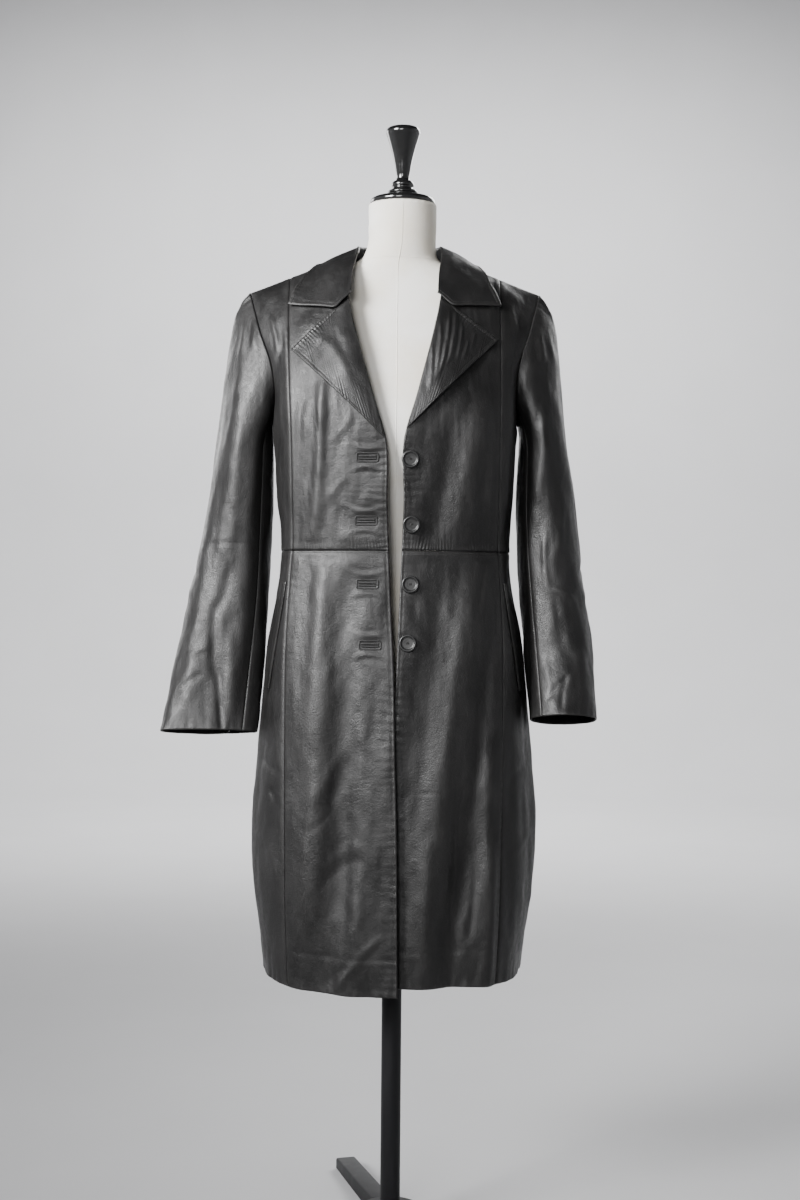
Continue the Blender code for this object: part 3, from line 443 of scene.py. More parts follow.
        (-0.030, 1.000, -0.046, 0.470, 0.006, 0.020, -0.0046),
        (0.030, 1.010, 0.024, 0.380, -0.007, 0.023, 0.0060),
        (0.086, 0.990, 0.094, 0.450, 0.005, 0.020, -0.0046),
        (0.134, 0.900, 0.152, 0.360, 0.004, 0.019, 0.0054),
        (0.152, 0.975, 0.146, 0.740, 0.003, 0.009, 0.0015),
        (-0.030, 0.640, 0.040, 0.575, 0.006, 0.009, 0.0016),
        (0.090, 0.600, 0.040, 0.520, 0.006, 0.010, -0.0015),
        (-0.140, 0.640, -0.090, 0.560, -0.006, 0.009, 0.0015),
        (-0.060, 0.480, -0.010, 0.395, 0.005, 0.008, 0.0020),
    ],
    ("lapel_right", FRONT): [
        (-0.118, 1.312, -0.060, 1.240, 0.004, 0.012, 0.0014),
        (-0.090, 1.318, -0.048, 1.230, -0.004, 0.009, -0.0009),
    ],
    ("lapel_left", FRONT): [
        (0.050, 1.300, 0.046, 1.225, 0.002, 0.004, 0.0012),
        (0.062, 1.332, 0.053, 1.236, 0.003, 0.004, 0.0016),
        (0.069, 1.300, 0.058, 1.244, 0.002, 0.003, 0.0013),
        (0.075, 1.347, 0.062, 1.252, 0.003, 0.004, 0.0018),
        (0.079, 1.310, 0.069, 1.258, 0.002, 0.003, 0.0013),
        (0.084, 1.352, 0.075, 1.264, 0.002, 0.004, 0.0017),
        (0.093, 1.330, 0.084, 1.268, 0.002, 0.003, 0.0015),
        (0.103, 1.305, 0.093, 1.272, 0.001, 0.003, 0.0013),
        (0.112, 1.318, 0.104, 1.282, 0.001, 0.004, 0.0010),
    ],
    ("collar", FRONT): [
        (-0.082, 1.420, -0.132, 1.385, 0.004, 0.010, 0.0010),
        (0.085, 1.418, 0.130, 1.384, -0.004, 0.009, 0.0010),
    ],
    ("collar", BACK): [
        (-0.050, 1.440, -0.056, 1.405, 0.002, 0.010, 0.0010),
        (0.030, 1.442, 0.034, 1.404, 0.002, 0.010, -0.0009),
    ],
}
# Share of a crease's length over which it fades at each end, and how far it runs past them
CREASE_FADE = 0.30
CREASE_OVERRUN = 0.05
# A crease is narrower at its start and wider at its end, with a faint hollow on both sides
CREASE_NARROW = 0.75
CREASE_WIDENING = 0.35
CREASE_HOLLOW = 0.35
# How quickly a crease takes hold on faces that turn towards its view
CREASE_FACING = 2.2

# Broad unevenness of the hide: length of the waves in metres, and their height
UNEVENNESS = [
    # wave length, height, seed
    (0.110, 0.0011, 11),
    (0.045, 0.0005, 23),
    (0.021, 0.00024, 37),
    (0.011, 0.00009, 53),
]
WAVES_EACH = 14
WAVE_RANGE = (0.6, 1.3)
DRAPE_STRETCH = 0.45

# Room that a moved point keeps from its neighbours
KEEP_CLEAR = 0.0006
LOOK_AHEAD = 0.012
MOST_OUT = 0.0095
MOST_IN = 0.0075
SPREAD_STEPS = 3
# A look for neighbours starts this far off the outer face, and this far inside the inner one
LOOK_FROM_OUTER = 0.0001
LOOK_FROM_INNER = 0.0002

# Turned profiles above the neck top: radius and height
CAP_PROFILE = [
    (0.0475, 0.0000),
    (0.0480, 0.0050),
    (0.0465, 0.0075),
    (0.0380, 0.0098),
    (0.0285, 0.0125),
    (0.0235, 0.0160),
]
FINIAL_PROFILE = [
    (0.0215, 0.0163),
    (0.0225, 0.0180),
    (0.0210, 0.0205),
    (0.0165, 0.0225),
    (0.0152, 0.0250),
    (0.0168, 0.0285),
    (0.0165, 0.0315),
    (0.0140, 0.0345),
    (0.0105, 0.0365),
    (0.0097, 0.0395),
    (0.0110, 0.0490),
    (0.0165, 0.0765),
    (0.0240, 0.1020),
    (0.0255, 0.1075),
    (0.0238, 0.1125),
    (0.0170, 0.1155),
    (0.0085, 0.1172),
]
# A button's profile as shares of its radius and thickness
BUTTON_PROFILE = [
    (0.70, 0.00),
    (0.92, 0.08),
    (1.00, 0.35),
    (1.00, 0.62),
    (0.96, 0.88),
    (0.88, 1.00),
    (0.80, 0.97),
    (0.74, 0.78),
    (0.68, 0.66),
    (0.45, 0.60),
    (0.20, 0.58),
]

# Bound buttonhole: radius of the frame's cord, heights of both lines, and the lips' shape
FRAME_RADIUS = 0.0010
FRAME_LEVEL = 0.0003
CORNER_POINTS = 6
LIP_LEVEL = 0.0004
LIP_INSET = 0.0030
LIP_POINTS = 13
LIP_CLOSING = 0.10
LIP_SPACING = 1.12
BOUND_FLATNESS = 0.50
BOUND_WEAR = 0.35
# Thread across a button: places of its bars, their length and radius, their share of its height
THREAD_BARS = (-0.0011, -0.0003, 0.0005, 0.0013)
THREAD_LENGTH = 0.0052
THREAD_RADIUS = 0.00045
THREAD_LEVEL = 0.66

# Seams of the form: where the middle one leans at the neck, and how far it is from both ends
LEAN_FROM = 1.415
LEAN_OVER = 0.05
LEAN = 0.0065
NECK_ACROSS = 0.003
SEAM_ABOVE = 0.01
SEAM_BELOW = 0.004
SEAM_STEP = 0.008
NECK_STEPS = 72

# Soft lights: place, what it points at, size, spread in degrees
LIGHTS = {
    "key": ((-2.05, -1.70, 2.10), (-0.28, 0, 1.32), 1.3, 46),
    "fill": ((-0.7, -3.0, 1.7), (0.05, 0, 0.8), 1.0, 60),
    "rear": ((1.5, 2.3, 2.6), (0.1, 0.1, 0.9), 1.6, 90),
    "side": ((-2.2, 2.3, 1.9), (0, 0, 1.0), 1.4, 60),
}
# Lights on the round wall: turn from straight behind the part, and share of the power
WALL_LIGHTS = {"back": (0, 1.0), "right": (90, 0.40), "left": (-90, 0.40), "front": (180, 0.12)}
WALL_LIGHT = ((0, 4.3, 3.1), (0, 6.0, 0.5), 3.0, 180)

# Round studio: flat floor, the bend from floor to wall, and the wall's height
FLOOR_RADII = (0.0, 2.5, 5.0)
BEND_RADIUS = 1.5
BEND_FROM = 5.5
BEND_POINTS = 14
WALL_HEIGHT = 6.0
STUDIO_STEPS = 96
SKY_COLOUR = (0.92, 0.95, 1.0, 1)

sheets = {}


def smooth(value):
    value = np.clip(value, 0, 1)
    return value * value * (3 - 2 * value)


def bell(distance, width):
    return np.exp(-((distance / width) ** 2))


def unsided(name):
    """The piece's name without its side."""
    for side in SIDES:
        name = name.removesuffix("_" + side)
    return name


def sided(piece):
    """The names of a piece's right and left copies, or of its only one."""
    return [piece] if piece in UNPAIRED else [piece + "_" + side for side in SIDES]


def side_of(name):
    for side in SIDES:
        if name.endswith("_" + side):
            return side
    return None


def solid_copy(name):
    """A merged copy of a solid's mesh."""
    bm = bmesh.new()
    bm.from_mesh(frame["nodes"][name].data)
    bmesh.ops.remove_doubles(bm, verts=bm.verts[:], dist=MERGE_WITHIN)
    return bm


def loose_sheets(bm):
    """The mesh's faces in groups that hang together."""
    left = set(bm.faces)
    while left:
        todo = [left.pop()]
        group = list(todo)
        while todo:
            for edge in todo.pop().edges:
                for face in edge.link_faces:
                    if face in left:
                        left.remove(face)
                        todo.append(face)
                        group.append(face)
        yield group


def outward_from(name, place):
    """The way that a piece's outer face looks at a place."""
    if name.startswith("lapel"):
        return Vector((0, -1, 0))
    if name == "collar":
        return place - Vector((0, 0, COLLAR_HEIGHT))
    if "sleeve" in name:
        return Vector((place.x - SIDES[side_of(name)] * SLEEVE_ACROSS, place.y - SLEEVE_DEPTH, 0))
    return Vector((place.x, place.y, 0))


def facing_out(name, faces):
    total = 0.0
    for face in faces:
        total += face.calc_area() * face.normal.dot(outward_from(name, face.calc_center_median()))
    return total


def border_loop(bm):
    """The points round an open sheet, in order."""
    after = {}
    for edge in bm.edges:
        if edge.is_boundary:
            for here, there in (edge.verts, reversed(edge.verts)):
                after.setdefault(here, []).append(there)
    first = next(iter(after))
    loop = [first, after[first][0]]
    while True:
        onward = [vert for vert in after[loop[-1]] if vert is not loop[-2]][0]
        if onward is first:
            return loop
        loop.append(onward)


def turn_at(loop, i):
    before = loop[i].co - loop[i - 1].co
    onward = loop[(i + 1) % len(loop)].co - loop[i].co
    return before.angle(onward)


def walk_grid(bm, rows, columns):
    """The points of a triangulated grid sheet by row and column, from its four corners inwards."""
    loop = border_loop(bm)
    count = len(loop)
    if count != 2 * (rows + columns) - 4:
        raise RuntimeError(f"a sheet has {count} points round it, not those of {rows} by {columns}")
    turns = [turn_at(loop, i) for i in range(count)]
    corners = np.cumsum((0, columns - 1, rows - 1, columns - 1))
    start = max(range(count), key=lambda s: sum(turns[(s + c) % count] for c in corners))
    loop = loop[start:] + loop[:start]
    grid = [[None] * columns for _ in range(rows)]
    grid[0] = loop[:columns]
    for i in range(1, rows):
        grid[i][columns - 1] = loop[columns - 1 + i]
        grid[i][0] = loop[(count - i) % count]
    for j in range(1, columns - 1):
        grid[rows - 1][j] = loop[count - rows + 1 - j]
    beside = {}
    for edge in bm.edges:
        here, there = edge.verts
        beside.setdefault(here, set()).add(there)
        beside.setdefault(there, set()).add(here)
    for i in range(1, rows - 1):
        for j in range(1, columns - 1):
            shared = beside[grid[i - 1][j]] & beside[grid[i][j - 1]]
            grid[i][j] = (shared - {grid[i - 1][j - 1]}).pop()
    return np.array([[tuple(vert.co) for vert in row] for row in grid])


def ordered_lapel(grid):
    """Rows from the break up to the gorge, and columns from the roll line out to the tip."""
    lowest = grid[[0, 0, -1, -1], [0, -1, 0, -1], 2].argmin()
    if lowest >= 2:
        grid = grid[::-1]
    if lowest % 2:
        grid = grid[:, ::-1]
    if abs(grid[0, -1, 0]) < abs(grid[-1, 0, 0]):
        grid = grid.transpose(1, 0, 2)
    return grid


def ordered(name, grid):
    """Rows from low to high, or right to left on the collar, and columns from inner to outer edge."""
    if name.startswith("lapel"):
        return ordered_lapel(grid)
    row_key, column_key = grid[..., 2], grid[..., 0]
    side = side_of(name)
    if side == "right" or "back" in name:
        column_key = -column_key
    if "sleeve" in name:
        column_key = grid[..., 1]
    if name == "collar":
        row_key = grid[..., 0]
        column_key = np.hypot(grid[..., 0], grid[..., 1])
    if row_key[0].mean() > row_key[-1].mean():
        grid = grid[::-1]
        column_key = column_key[::-1]
    if column_key[:, 0].mean() > column_key[:, -1].mean():
        grid = grid[:, ::-1]
    return grid


def drawn_along(knots, values, places):
    """Values between knots on a smooth curve through them, along the first axis."""
    slopes = np.gradient(values, knots, axis=0, edge_order=2)
    i = np.clip(np.searchsorted(knots, places, side="right") - 1, 0, len(knots) - 2)
    step = (knots[i + 1] - knots[i])[:, None, None]
    t = ((places - knots[i])[:, None, None]) / step
    near = values[i] * (1 + 2 * t) * (1 - t) ** 2 + slopes[i] * step * t * (1 - t) ** 2
    far = values[i + 1] * t * t * (3 - 2 * t) + slopes[i + 1] * step * t * t * (t - 1)
    return near + far


def places_along(length, spacing):
    """Places from 0 to length, close together at both ends."""
    first, last = EDGE_LINES[-1], length - EDGE_LINES[-1]
    inner = np.linspace(first, last, max(int(round((last - first) / spacing)), 2) + 1)
    return np.concatenate((EDGE_LINES[:-1], inner, length - EDGE_LINES[-2::-1]))


def run_lengths(grid):
    """Length of the grid's lines along its first axis, from the first row."""
    steps = np.linalg.norm(np.diff(grid, axis=0), axis=2)
    return np.concatenate((np.zeros((1, grid.shape[1])), np.cumsum(steps, axis=0)))


def finer(grid, spacing_across, spacing_up):
    knots = run_lengths(grid).mean(axis=1)
    grid = drawn_along(knots, grid, places_along(knots[-1], spacing_up))
    turned = grid.transpose(1, 0, 2)
    knots = run_lengths(turned).mean(axis=1)
    turned = drawn_along(knots, turned, places_along(knots[-1], spacing_across))
    return turned.transpose(1, 0, 2)


def short_stand(grid):
    """The collar's stand runs out under its fold at both front ends."""
    grid = grid.copy()
    for end, kept in enumerate(STAND_KEPT):
        for row in (end, len(grid) - 1 - end):
            fold = grid[row, STAND_COLUMNS]
            grid[row, :STAND_COLUMNS] = fold + (grid[row, :STAND_COLUMNS] - fold) * kept
    return grid


def closed_seams(name, points):
    """Sewn edges reach a little further, so that no light shows through a seam."""
    points = points.copy()
    borders = {"inner": (np.s_[:, 0], np.s_[:, 1]), "outer": (np.s_[:, -1], np.s_[:, -2])}
    borders |= {"low": (np.s_[0], np.s_[1]), "high": (np.s_[-1], np.s_[-2])}
    for edge, finish in zip(EDGE_NAMES, FINISHES[unsided(name)]):
        if finish == SEWN:
            last, before = borders[edge]
            step = points[last] - points[before]
            reach = SLEEVE_SEAM_REACH if "sleeve" in name else SEAM_REACH
            points[last] += reach * step / np.linalg.norm(step, axis=1, keepdims=True)
    if "sleeve" in name:
        points[-1] = nearer_armhole(points[-1], side_of(name))
    return points


def nearer_armhole(edge, side):
    """A sleeve's top edge drawn up to the bodice's edge where it is set in."""
    back = sheets["back_bodice"].base
    rims = np.concatenate((sheets["side_bodice_" + side].base[:, -1], back[:, 0], back[:, -1]))
    away = rims[None] - edge[:, None]
    reach = np.linalg.norm(away, axis=2)
    nearest = reach.argmin(axis=1)
    step = away[np.arange(len(edge)), nearest]
    share = ARMHOLE_SHARE * smooth((ARMHOLE_REACH - reach.min(axis=1)) / ARMHOLE_REACH * 2)
    return edge + step * share[:, None]


def read_sheet(name, rows, columns, spacing_across, spacing_up, wall):
    """The finer grid of a cloth solid's outer face, with its normals and its lengths both ways."""
    bm = solid_copy(name)
    rim = set()
    for edge in bm.edges:
        if abs(edge.calc_length() - wall) < RIM_TOLERANCE[wall]:
            rim.update(edge.link_faces)
    bmesh.ops.delete(bm, geom=list(rim), context="FACES")
    groups = sorted(loose_sheets(bm), key=lambda faces: facing_out(name, faces))
    outer = set(groups[-1])
    bmesh.ops.delete(bm, geom=[face for face in bm.faces if face not in outer], context="FACES")
    grid = ordered(name, walk_grid(bm, rows, columns))
    bm.free()
    if name == "collar":
        grid = short_stand(grid)
    points = closed_seams(name, finer(grid, spacing_across, spacing_up))
    normals = np.cross(np.gradient(points, axis=1), np.gradient(points, axis=0))
    normals /= np.linalg.norm(normals, axis=2, keepdims=True)
    looks = sum(
        Vector(normal).dot(outward_from(name, Vector(point)))
        for point, normal in zip(points[::4, ::4].reshape(-1, 3), normals[::4, ::4].reshape(-1, 3))
    )
    flipped = looks < 0
    up = run_lengths(points)
    across = run_lengths(points.transpose(1, 0, 2)).T
    return SimpleNamespace(
        name=name,
        base=points,
        points=points.copy(),
        normals=-normals if flipped else normals,
        flipped=flipped,
        wall=wall,
        far={
            "inner": across,
            "outer": across[:, -1:] - across,
            "low": up,
            "high": up[-1:] - up,
        },
        along={"inner": up, "outer": up, "low": across, "high": across},
        wear=np.zeros(points.shape[:2]),
    )


def wander(length, seed):
    """A smooth uneven line between -1 and 1."""
    waves = ((0.61, 1.0), (1.13, 2.1), (0.27, 0.7))
    return sum(np.sin(rate * length + start * seed) for rate, start in waves) / len(waves)


def swells(far, rows):
    """Rounded swells and hollows at their distances from an edge."""
    return sum(height * bell(far - distance, width) for distance, width, height in rows)


def fullness(far, height, distance, width):
    """Leather that is fuller up to a distance from an edge."""
    return height * smooth((distance - far) / width)


def pucker_move(sheet, edge, pitch, reach, depth):
    """Ripples along an edge, uneven in pitch, strength and lean, dying away from the edge."""
    far = sheet.far[edge]
    count = sheet.along[edge] / pitch
    seed = len(sheet.name) + 3.7 * EDGE_NAMES.index(edge)
    phase = count + PUCKER_DRIFT * wander(count, seed)
    strength = PUCKER_STRENGTH + PUCKER_UNEVENNESS * wander(count * 0.7, seed + 4)
    lean = PUCKER_LEAN * wander(count * 0.5, seed + 9) * far / pitch
    ripple = PUCKER_FULLNESS + np.cos(math.tau * (phase + lean))
    return depth * strength * ripple * np.exp(-far / reach) * smooth(far / PUCKER_START)


def crease_move(sheet, view, a_start, z_start, a_end, z_end, bow, width, depth):
    """A soft trough or ridge along a bowed line, on the faces that look towards the view."""
    axis, toward = VIEWS[view]
    facing = smooth(sheet.normals @ toward * CREASE_FACING)
    start = np.array((a_start, z_start))
    line = np.array((a_end, z_end)) - start
    length = np.linalg.norm(line)
    line /= length
    place = sheet.base[..., (axis, 2)] - start
    share = np.clip(place @ line / length, -0.2, 1.2)
    sideways = place @ np.array((-line[1], line[0])) - 4 * bow * share * (1 - share)
    fade = smooth((share + CREASE_OVERRUN) / CREASE_FADE)
    fade *= smooth((1 + CREASE_OVERRUN - share) / CREASE_FADE)
    far = (sideways / (width * (CREASE_NARROW + CREASE_WIDENING * share))) ** 2
    return depth * fade * facing * np.exp(-far) * (1 - CREASE_HOLLOW * far)


def uneven_move(points):
    """Broad waves of the hide, drawn out along the drape."""
    place = points * np.array((1.0, 1.0, DRAPE_STRETCH))
    total = np.zeros(points.shape[:2])
    for wave_length, height, seed in UNEVENNESS:
        draw = np.random.default_rng(seed)
        share = height * math.sqrt(2 / WAVES_EACH)
        for _ in range(WAVES_EACH):
            way = draw.normal(size=3)
            way *= math.tau / wave_length / np.linalg.norm(way) * draw.uniform(*WAVE_RANGE)
            total += share * np.sin(place @ way + draw.uniform(0, math.tau))
    return total


def others_tree(name):
    """Every solid but this one, to look for what is near."""
    corners = []
    faces = []
    for node, obj in frame["nodes"].items():
        if node == name:
            continue
        start = len(corners)
        corners.extend(vert.co for vert in obj.data.vertices)
        faces.extend([start + i for i in face.vertices] for face in obj.data.polygons)
    return BVHTree.FromPolygons(corners, faces)


def room_beyond(tree, points, ways):
    """How far each point may go along its way before it meets another solid."""
    room = np.full(points.shape[:2], LOOK_AHEAD)
    for i in range(points.shape[0]):
        for j in range(points.shape[1]):
            hit = tree.ray_cast(Vector(points[i, j]), Vector(ways[i, j]), LOOK_AHEAD)
            if hit[3] is not None:
                room[i, j] = hit[3]
    return room


def beside_each(room):
    """The four neighbours of every place in a grid."""
    padded = np.pad(room, 1, mode="edge")
    return padded[:-2, 1:-1], padded[2:, 1:-1], padded[1:-1, :-2], padded[1:-1, 2:]


def spread_low(room):
    """Small rooms spread to their neighbours, then blurred, so that a limit has no hard edge."""
    for _ in range(SPREAD_STEPS):
        room = np.minimum.reduce([room, *beside_each(room)])
    for _ in range(SPREAD_STEPS):
        room = (sum(beside_each(room)) + 2 * room) / 6
    return room


def within_room(sheet, move):
    """The move held back where another piece, or the form, is near."""
    tree = others_tree(sheet.name)
    out = room_beyond(tree, sheet.base + sheet.normals * LOOK_FROM_OUTER, sheet.normals)
    depth = sheet.wall - LOOK_FROM_INNER
    inside = room_beyond(tree, sheet.base - sheet.normals * depth, -sheet.normals)
    most_out = np.clip(spread_low(out) - KEEP_CLEAR, 0, MOST_OUT)
    most_in = np.clip(spread_low(inside) - KEEP_CLEAR, 0, MOST_IN)
    outwards = most_out * np.tanh(np.maximum(move, 0) / np.maximum(most_out, MERGE_WITHIN))
    inwards = most_in * np.tanh(np.minimum(move, 0) / np.maximum(most_in, MERGE_WITHIN))
    return outwards + inwards


def node_middle(name):
    low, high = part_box(name)
    return np.array((low + high) / 2)


def buttonhole_move(sheet):
    """The leather sinks at each buttonhole and stands in flat folds above and below it."""
    total = np.zeros(sheet.base.shape[:2])
    for number in CLOSINGS:
        away = sheet.base - node_middle(f"buttonhole_{number}")
        across = away[..., 0]
        bent = FOLD_BEND * (across / FOLD_BEND_AT) ** 2
        for height, bend, half_length, half_width, move in BUTTONHOLE_FOLDS:
            level = away[..., 2] + bend * bent - height
            total += move * bell(across, half_length) * bell(level, half_width)
    return total


def closing_move(sheet, crease):
    """The creases calmed round the buttonholes or the buttons, with the marks that these leave."""
    buttonholes = side_of(sheet.name) == "right"
    trim, calm = ("buttonhole", BUTTONHOLE_CALM) if buttonholes else ("button", BUTTON_CALM)
    for number in CLOSINGS:
        away = np.linalg.norm(sheet.base - node_middle(f"{trim}_{number}"), axis=2)
        crease = crease * (1 - bell(away, calm))
        if not buttonholes:
            width, depth = BUTTON_HOLLOW
            crease -= depth * bell(away, width)
    if buttonholes:
        crease += buttonhole_move(sheet)
    return crease


def shape_sheet(sheet):
    """All the moves of one piece, and where its leather is worn."""
    piece = unsided(sheet.name)
    crease = uneven_move(sheet.base) * CALM_PIECES.get(piece, 1.0)
    for (start, view), rows in CREASES.items():
        if sheet.name.startswith(start):
            for row in rows:
                crease += crease_move(sheet, view, *row)
    edges = [(sheet.far[edge], finish) for edge, finish in zip(EDGE_NAMES, FINISHES[piece])]
    turned_near = np.ones(sheet.base.shape[:2])
    for far, finish in edges:
        if finish == TURNED:
            turned_near *= smooth(far / TURNED_CALM)
    sewn_near = np.ones(sheet.base.shape[:2])
    edge_move = np.zeros(sheet.base.shape[:2])
    groove = np.zeros(sheet.base.shape[:2])
    for far, finish in edges:
        if finish == TURNED:
            edge_move += swells(far, TURNED_SWELLS) + fullness(far, *TURNED_FULLNESS)
            sheet.wear = np.maximum(sheet.wear, swells(far, TURNED_WEAR))
        else:
            groove += swells(far, SEAM_SWELLS) * turned_near * SEAM_SHARES[finish]
            sewn_near *= smooth(far / SEAM_CALM)
            sheet.wear = np.maximum(sheet.wear, swells(far, SEAM_WEAR))
    for where, edge, *row in PUCKERS:
        if where == piece:
            edge_move += pucker_move(sheet, edge, *row)
    for where, edge, distance in STITCH_ROWS:
        if where == piece:
            edge_move += swells(sheet.far[edge] - distance, STITCH_SWELLS)
    if piece in ("front_bodice", "front_skirt"):
        crease = closing_move(sheet, crease)
    if piece in ("front_skirt", "side_skirt", "back_skirt"):
        crease += swells(sheet.far["low"], HEM_SWELLS) + fullness(sheet.far["low"], *HEM_FULLNESS)
    move = within_room(sheet, crease * sewn_near + edge_move) + groove
    sheet.points = sheet.base + sheet.normals * move[..., None]
    crests = np.clip(move / WORN_CREST, 0, 1)
    sheet.wear = np.clip(sheet.wear * EDGE_WEAR_SHARE + crests * CREST_WEAR_SHARE, 0, 1)


def new_object(name, mesh, material, nodes):
    """The mesh as a piece that rides with the part and stands for its solids."""
    mesh.materials.append(material)
    obj = bpy.data.objects.new(name, mesh)
    bpy.context.scene.collection.objects.link(obj)
    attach(obj, "root")
    if nodes:
        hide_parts(*nodes)
    return obj


def shell_mesh(sheet):
    """A grid laid on the sheet's points, with its lengths as a UV map and its wear as an attribute."""
    rows, columns = sheet.points.shape[:2]
    bm = bmesh.new()
    bmesh.ops.create_grid(bm, x_segments=columns - 1, y_segments=rows - 1, size=0.5)
    if sheet.flipped:
        bmesh.ops.reverse_faces(bm, faces=bm.faces[:])
    mesh = bpy.data.meshes.new(sheet.name + "_leather")
    bm.to_mesh(mesh)
    bm.free()
    flat = np.empty(len(mesh.vertices) * 3, np.float32)
    mesh.vertices.foreach_get("co", flat)
    flat = flat.reshape(-1, 3) + 0.5
    i = np.rint(flat[:, 1] * (rows - 1)).astype(int)
    j = np.rint(flat[:, 0] * (columns - 1)).astype(int)
    mesh.vertices.foreach_set("co", sheet.points[i, j].astype(np.float32).ravel())
    wear = mesh.attributes.new("wear", "FLOAT", "POINT")
    wear.data.foreach_set("value", sheet.wear[i, j].astype(np.float32))
    corner = np.empty(len(mesh.loops), np.int32)
    mesh.loops.foreach_get("vertex_index", corner)
    lengths = np.stack((sheet.far["inner"][i, j], sheet.far["low"][i, j]), axis=1)
    mesh.uv_layers.new(name="cut").data.foreach_set("uv", lengths[corner].astype(np.float32).ravel())
    mesh.shade_smooth()
    mesh.update()
    return mesh


def build_cloth(table, solid_wall=WALL_OF_LEATHER):
    """The cloth pieces of one table: thin leather shells on their solids' form."""
    thickest = bpy.context.scene.coat_looks.leather_wall
    for piece, *sizes in table:
        width, length, area = CUTS[piece]
        for name in sided(piece):
            sheet = read_sheet(name, *sizes, solid_wall)
            shape_sheet(sheet)
            sheets[name] = sheet
            obj = new_object(name + "_leather", shell_mesh(sheet), leather_material(), [name])
            thick = obj.modifiers.new("wall", "SOLIDIFY")
            thick.thickness = min(thickest, solid_wall)
            thick.offset = -1


class Nodes:
    """A material's shader nodes, added and joined in few words."""

    def __init__(self, name):
        self.material = bpy.data.materials.new(name)
        self.material.use_nodes = True
        self.tree = self.material.node_tree
        self.shader = self.tree.nodes["Principled BSDF"]

    def add(self, kind, inputs=(), **settings):
        node = self.tree.nodes.new("ShaderNode" + kind)
        for key, value in settings.items():
            setattr(node, key, value)
        for key, value in dict(inputs).items():
            self.put(node.inputs[key], value)
        return node

    def put(self, socket, value):
        """A value set on a socket, or another node's output joined to it."""
        if isinstance(value, bpy.types.NodeSocket):
            self.tree.links.new(value, socket)
        else:
            socket.default_value = value

    def place(self, scale=(1, 1, 1), turn=(0, 0, 0)):
        """Object coordinates, drawn out or turned."""
        inputs = {"Vector": self.add("TexCoord").outputs["Object"], "Scale": scale, "Rotation": turn}
        return self.add("Mapping", inputs).outputs["Vector"]

    def ramp(self, value, *stops):
        node = self.add("ValToRGB", {"Fac": value})
        while len(node.color_ramp.elements) < len(stops):
            node.color_ramp.elements.new(0.5)
        for element, (position, colour) in zip(node.color_ramp.elements, stops):
            element.position = position
            element.color = (*colour, 1)
        return node.outputs["Color"]

    def mix(self, share, first, second):
        node = self.add("Mix", data_type="RGBA")
        sockets = {"Factor": share, "A": first, "B": second}
        for socket in node.inputs:
            if socket.enabled and socket.name in sockets:
                self.put(socket, sockets[socket.name])
        return next(socket for socket in node.outputs if socket.enabled)

    def noise(self, place, scale, detail=2.0, roughness=0.5, distortion=0.0):
        inputs = {"Vector": place, "Scale": scale, "Detail": detail}
        inputs |= {"Roughness": roughness, "Distortion": distortion}
        return self.add("TexNoise", inputs).outputs["Fac"]

    def math(self, operation, first, second):
        return self.add("Math", {0: first, 1: second}, operation=operation).outputs["Value"]

    def span(self, value, low, high, start=0.0, end=1.0):
        inputs = {"Value": value, "From Min": start, "From Max": end, "To Min": low, "To Max": high}
        return self.add("MapRange", inputs).outputs["Result"]

    def bump(self, height, strength, distance, below=None):
        inputs = {"Height": height, "Strength": strength, "Distance": distance}
        if below is not None:
            inputs["Normal"] = below
        return self.add("Bump", inputs).outputs["Normal"]

    def finish(self, **sockets):
        for name, value in sockets.items():
            self.put(self.shader.inputs[name.replace("_", " ")], value)
        return self.material


def made_once(build):
    """A material is built the first time that a piece asks for it."""
    kept = []

    def give():
        if not kept:
            kept.append(build())
        return kept[0]

    return give


@made_once
def leather_material():
    looks = bpy.context.scene.coat_looks
    nodes = Nodes("nappa_leather")
    place = nodes.place()
    clouds = nodes.noise(nodes.place(scale=(1, 1, 0.55)), 26.0, 4.0, 0.55)
    mottle = nodes.noise(place, 150.0, 3.0, 0.6)
    creasing = nodes.noise(place, 330.0, distortion=0.8)
    scale = 1 / looks.grain_size
    pebbles = nodes.add("TexVoronoi", {"Vector": place, "Scale": scale}, feature="F1")
    lines = nodes.add("TexVoronoi", {"Vector": place, "Scale": scale * 0.42}, feature="DISTANCE_TO_EDGE")
    veins = nodes.span(lines.outputs["Distance"], 0.0, 1.0, 0.0, 0.10)
    worn = nodes.add("Attribute", attribute_name="wear").outputs["Fac"]
    base = tuple(looks.leather_colour)
    dark = tuple(0.72 * c for c in base)
    pale = tuple(1.6 * c for c in base)
    colour = nodes.ramp(clouds, (0.30, dark), (0.52, base), (0.75, pale))
    rubbed = nodes.math("MULTIPLY", worn, mottle)
    colour = nodes.mix(nodes.span(rubbed, 0.0, 0.55), colour, (*looks.worn_colour, 1))
    uneven = nodes.span(clouds, -0.07, 0.07, 0.3, 0.7)
    rough = nodes.math("ADD", uneven, nodes.span(mottle, -0.06, 0.06, 0.3, 0.7))
    rough = nodes.math("ADD", rough, looks.leather_roughness)
    relief = nodes.bump(mottle, 0.20, 0.0016)
    relief = nodes.bump(creasing, 0.32, 0.0008, relief)
    relief = nodes.bump(veins, 0.16, 0.0003, relief)
    relief = nodes.bump(pebbles.outputs["Distance"], 0.30, 0.0004, relief)
    return nodes.finish(Base_Color=colour, Roughness=rough, Normal=relief, Specular_IOR_Level=0.34)


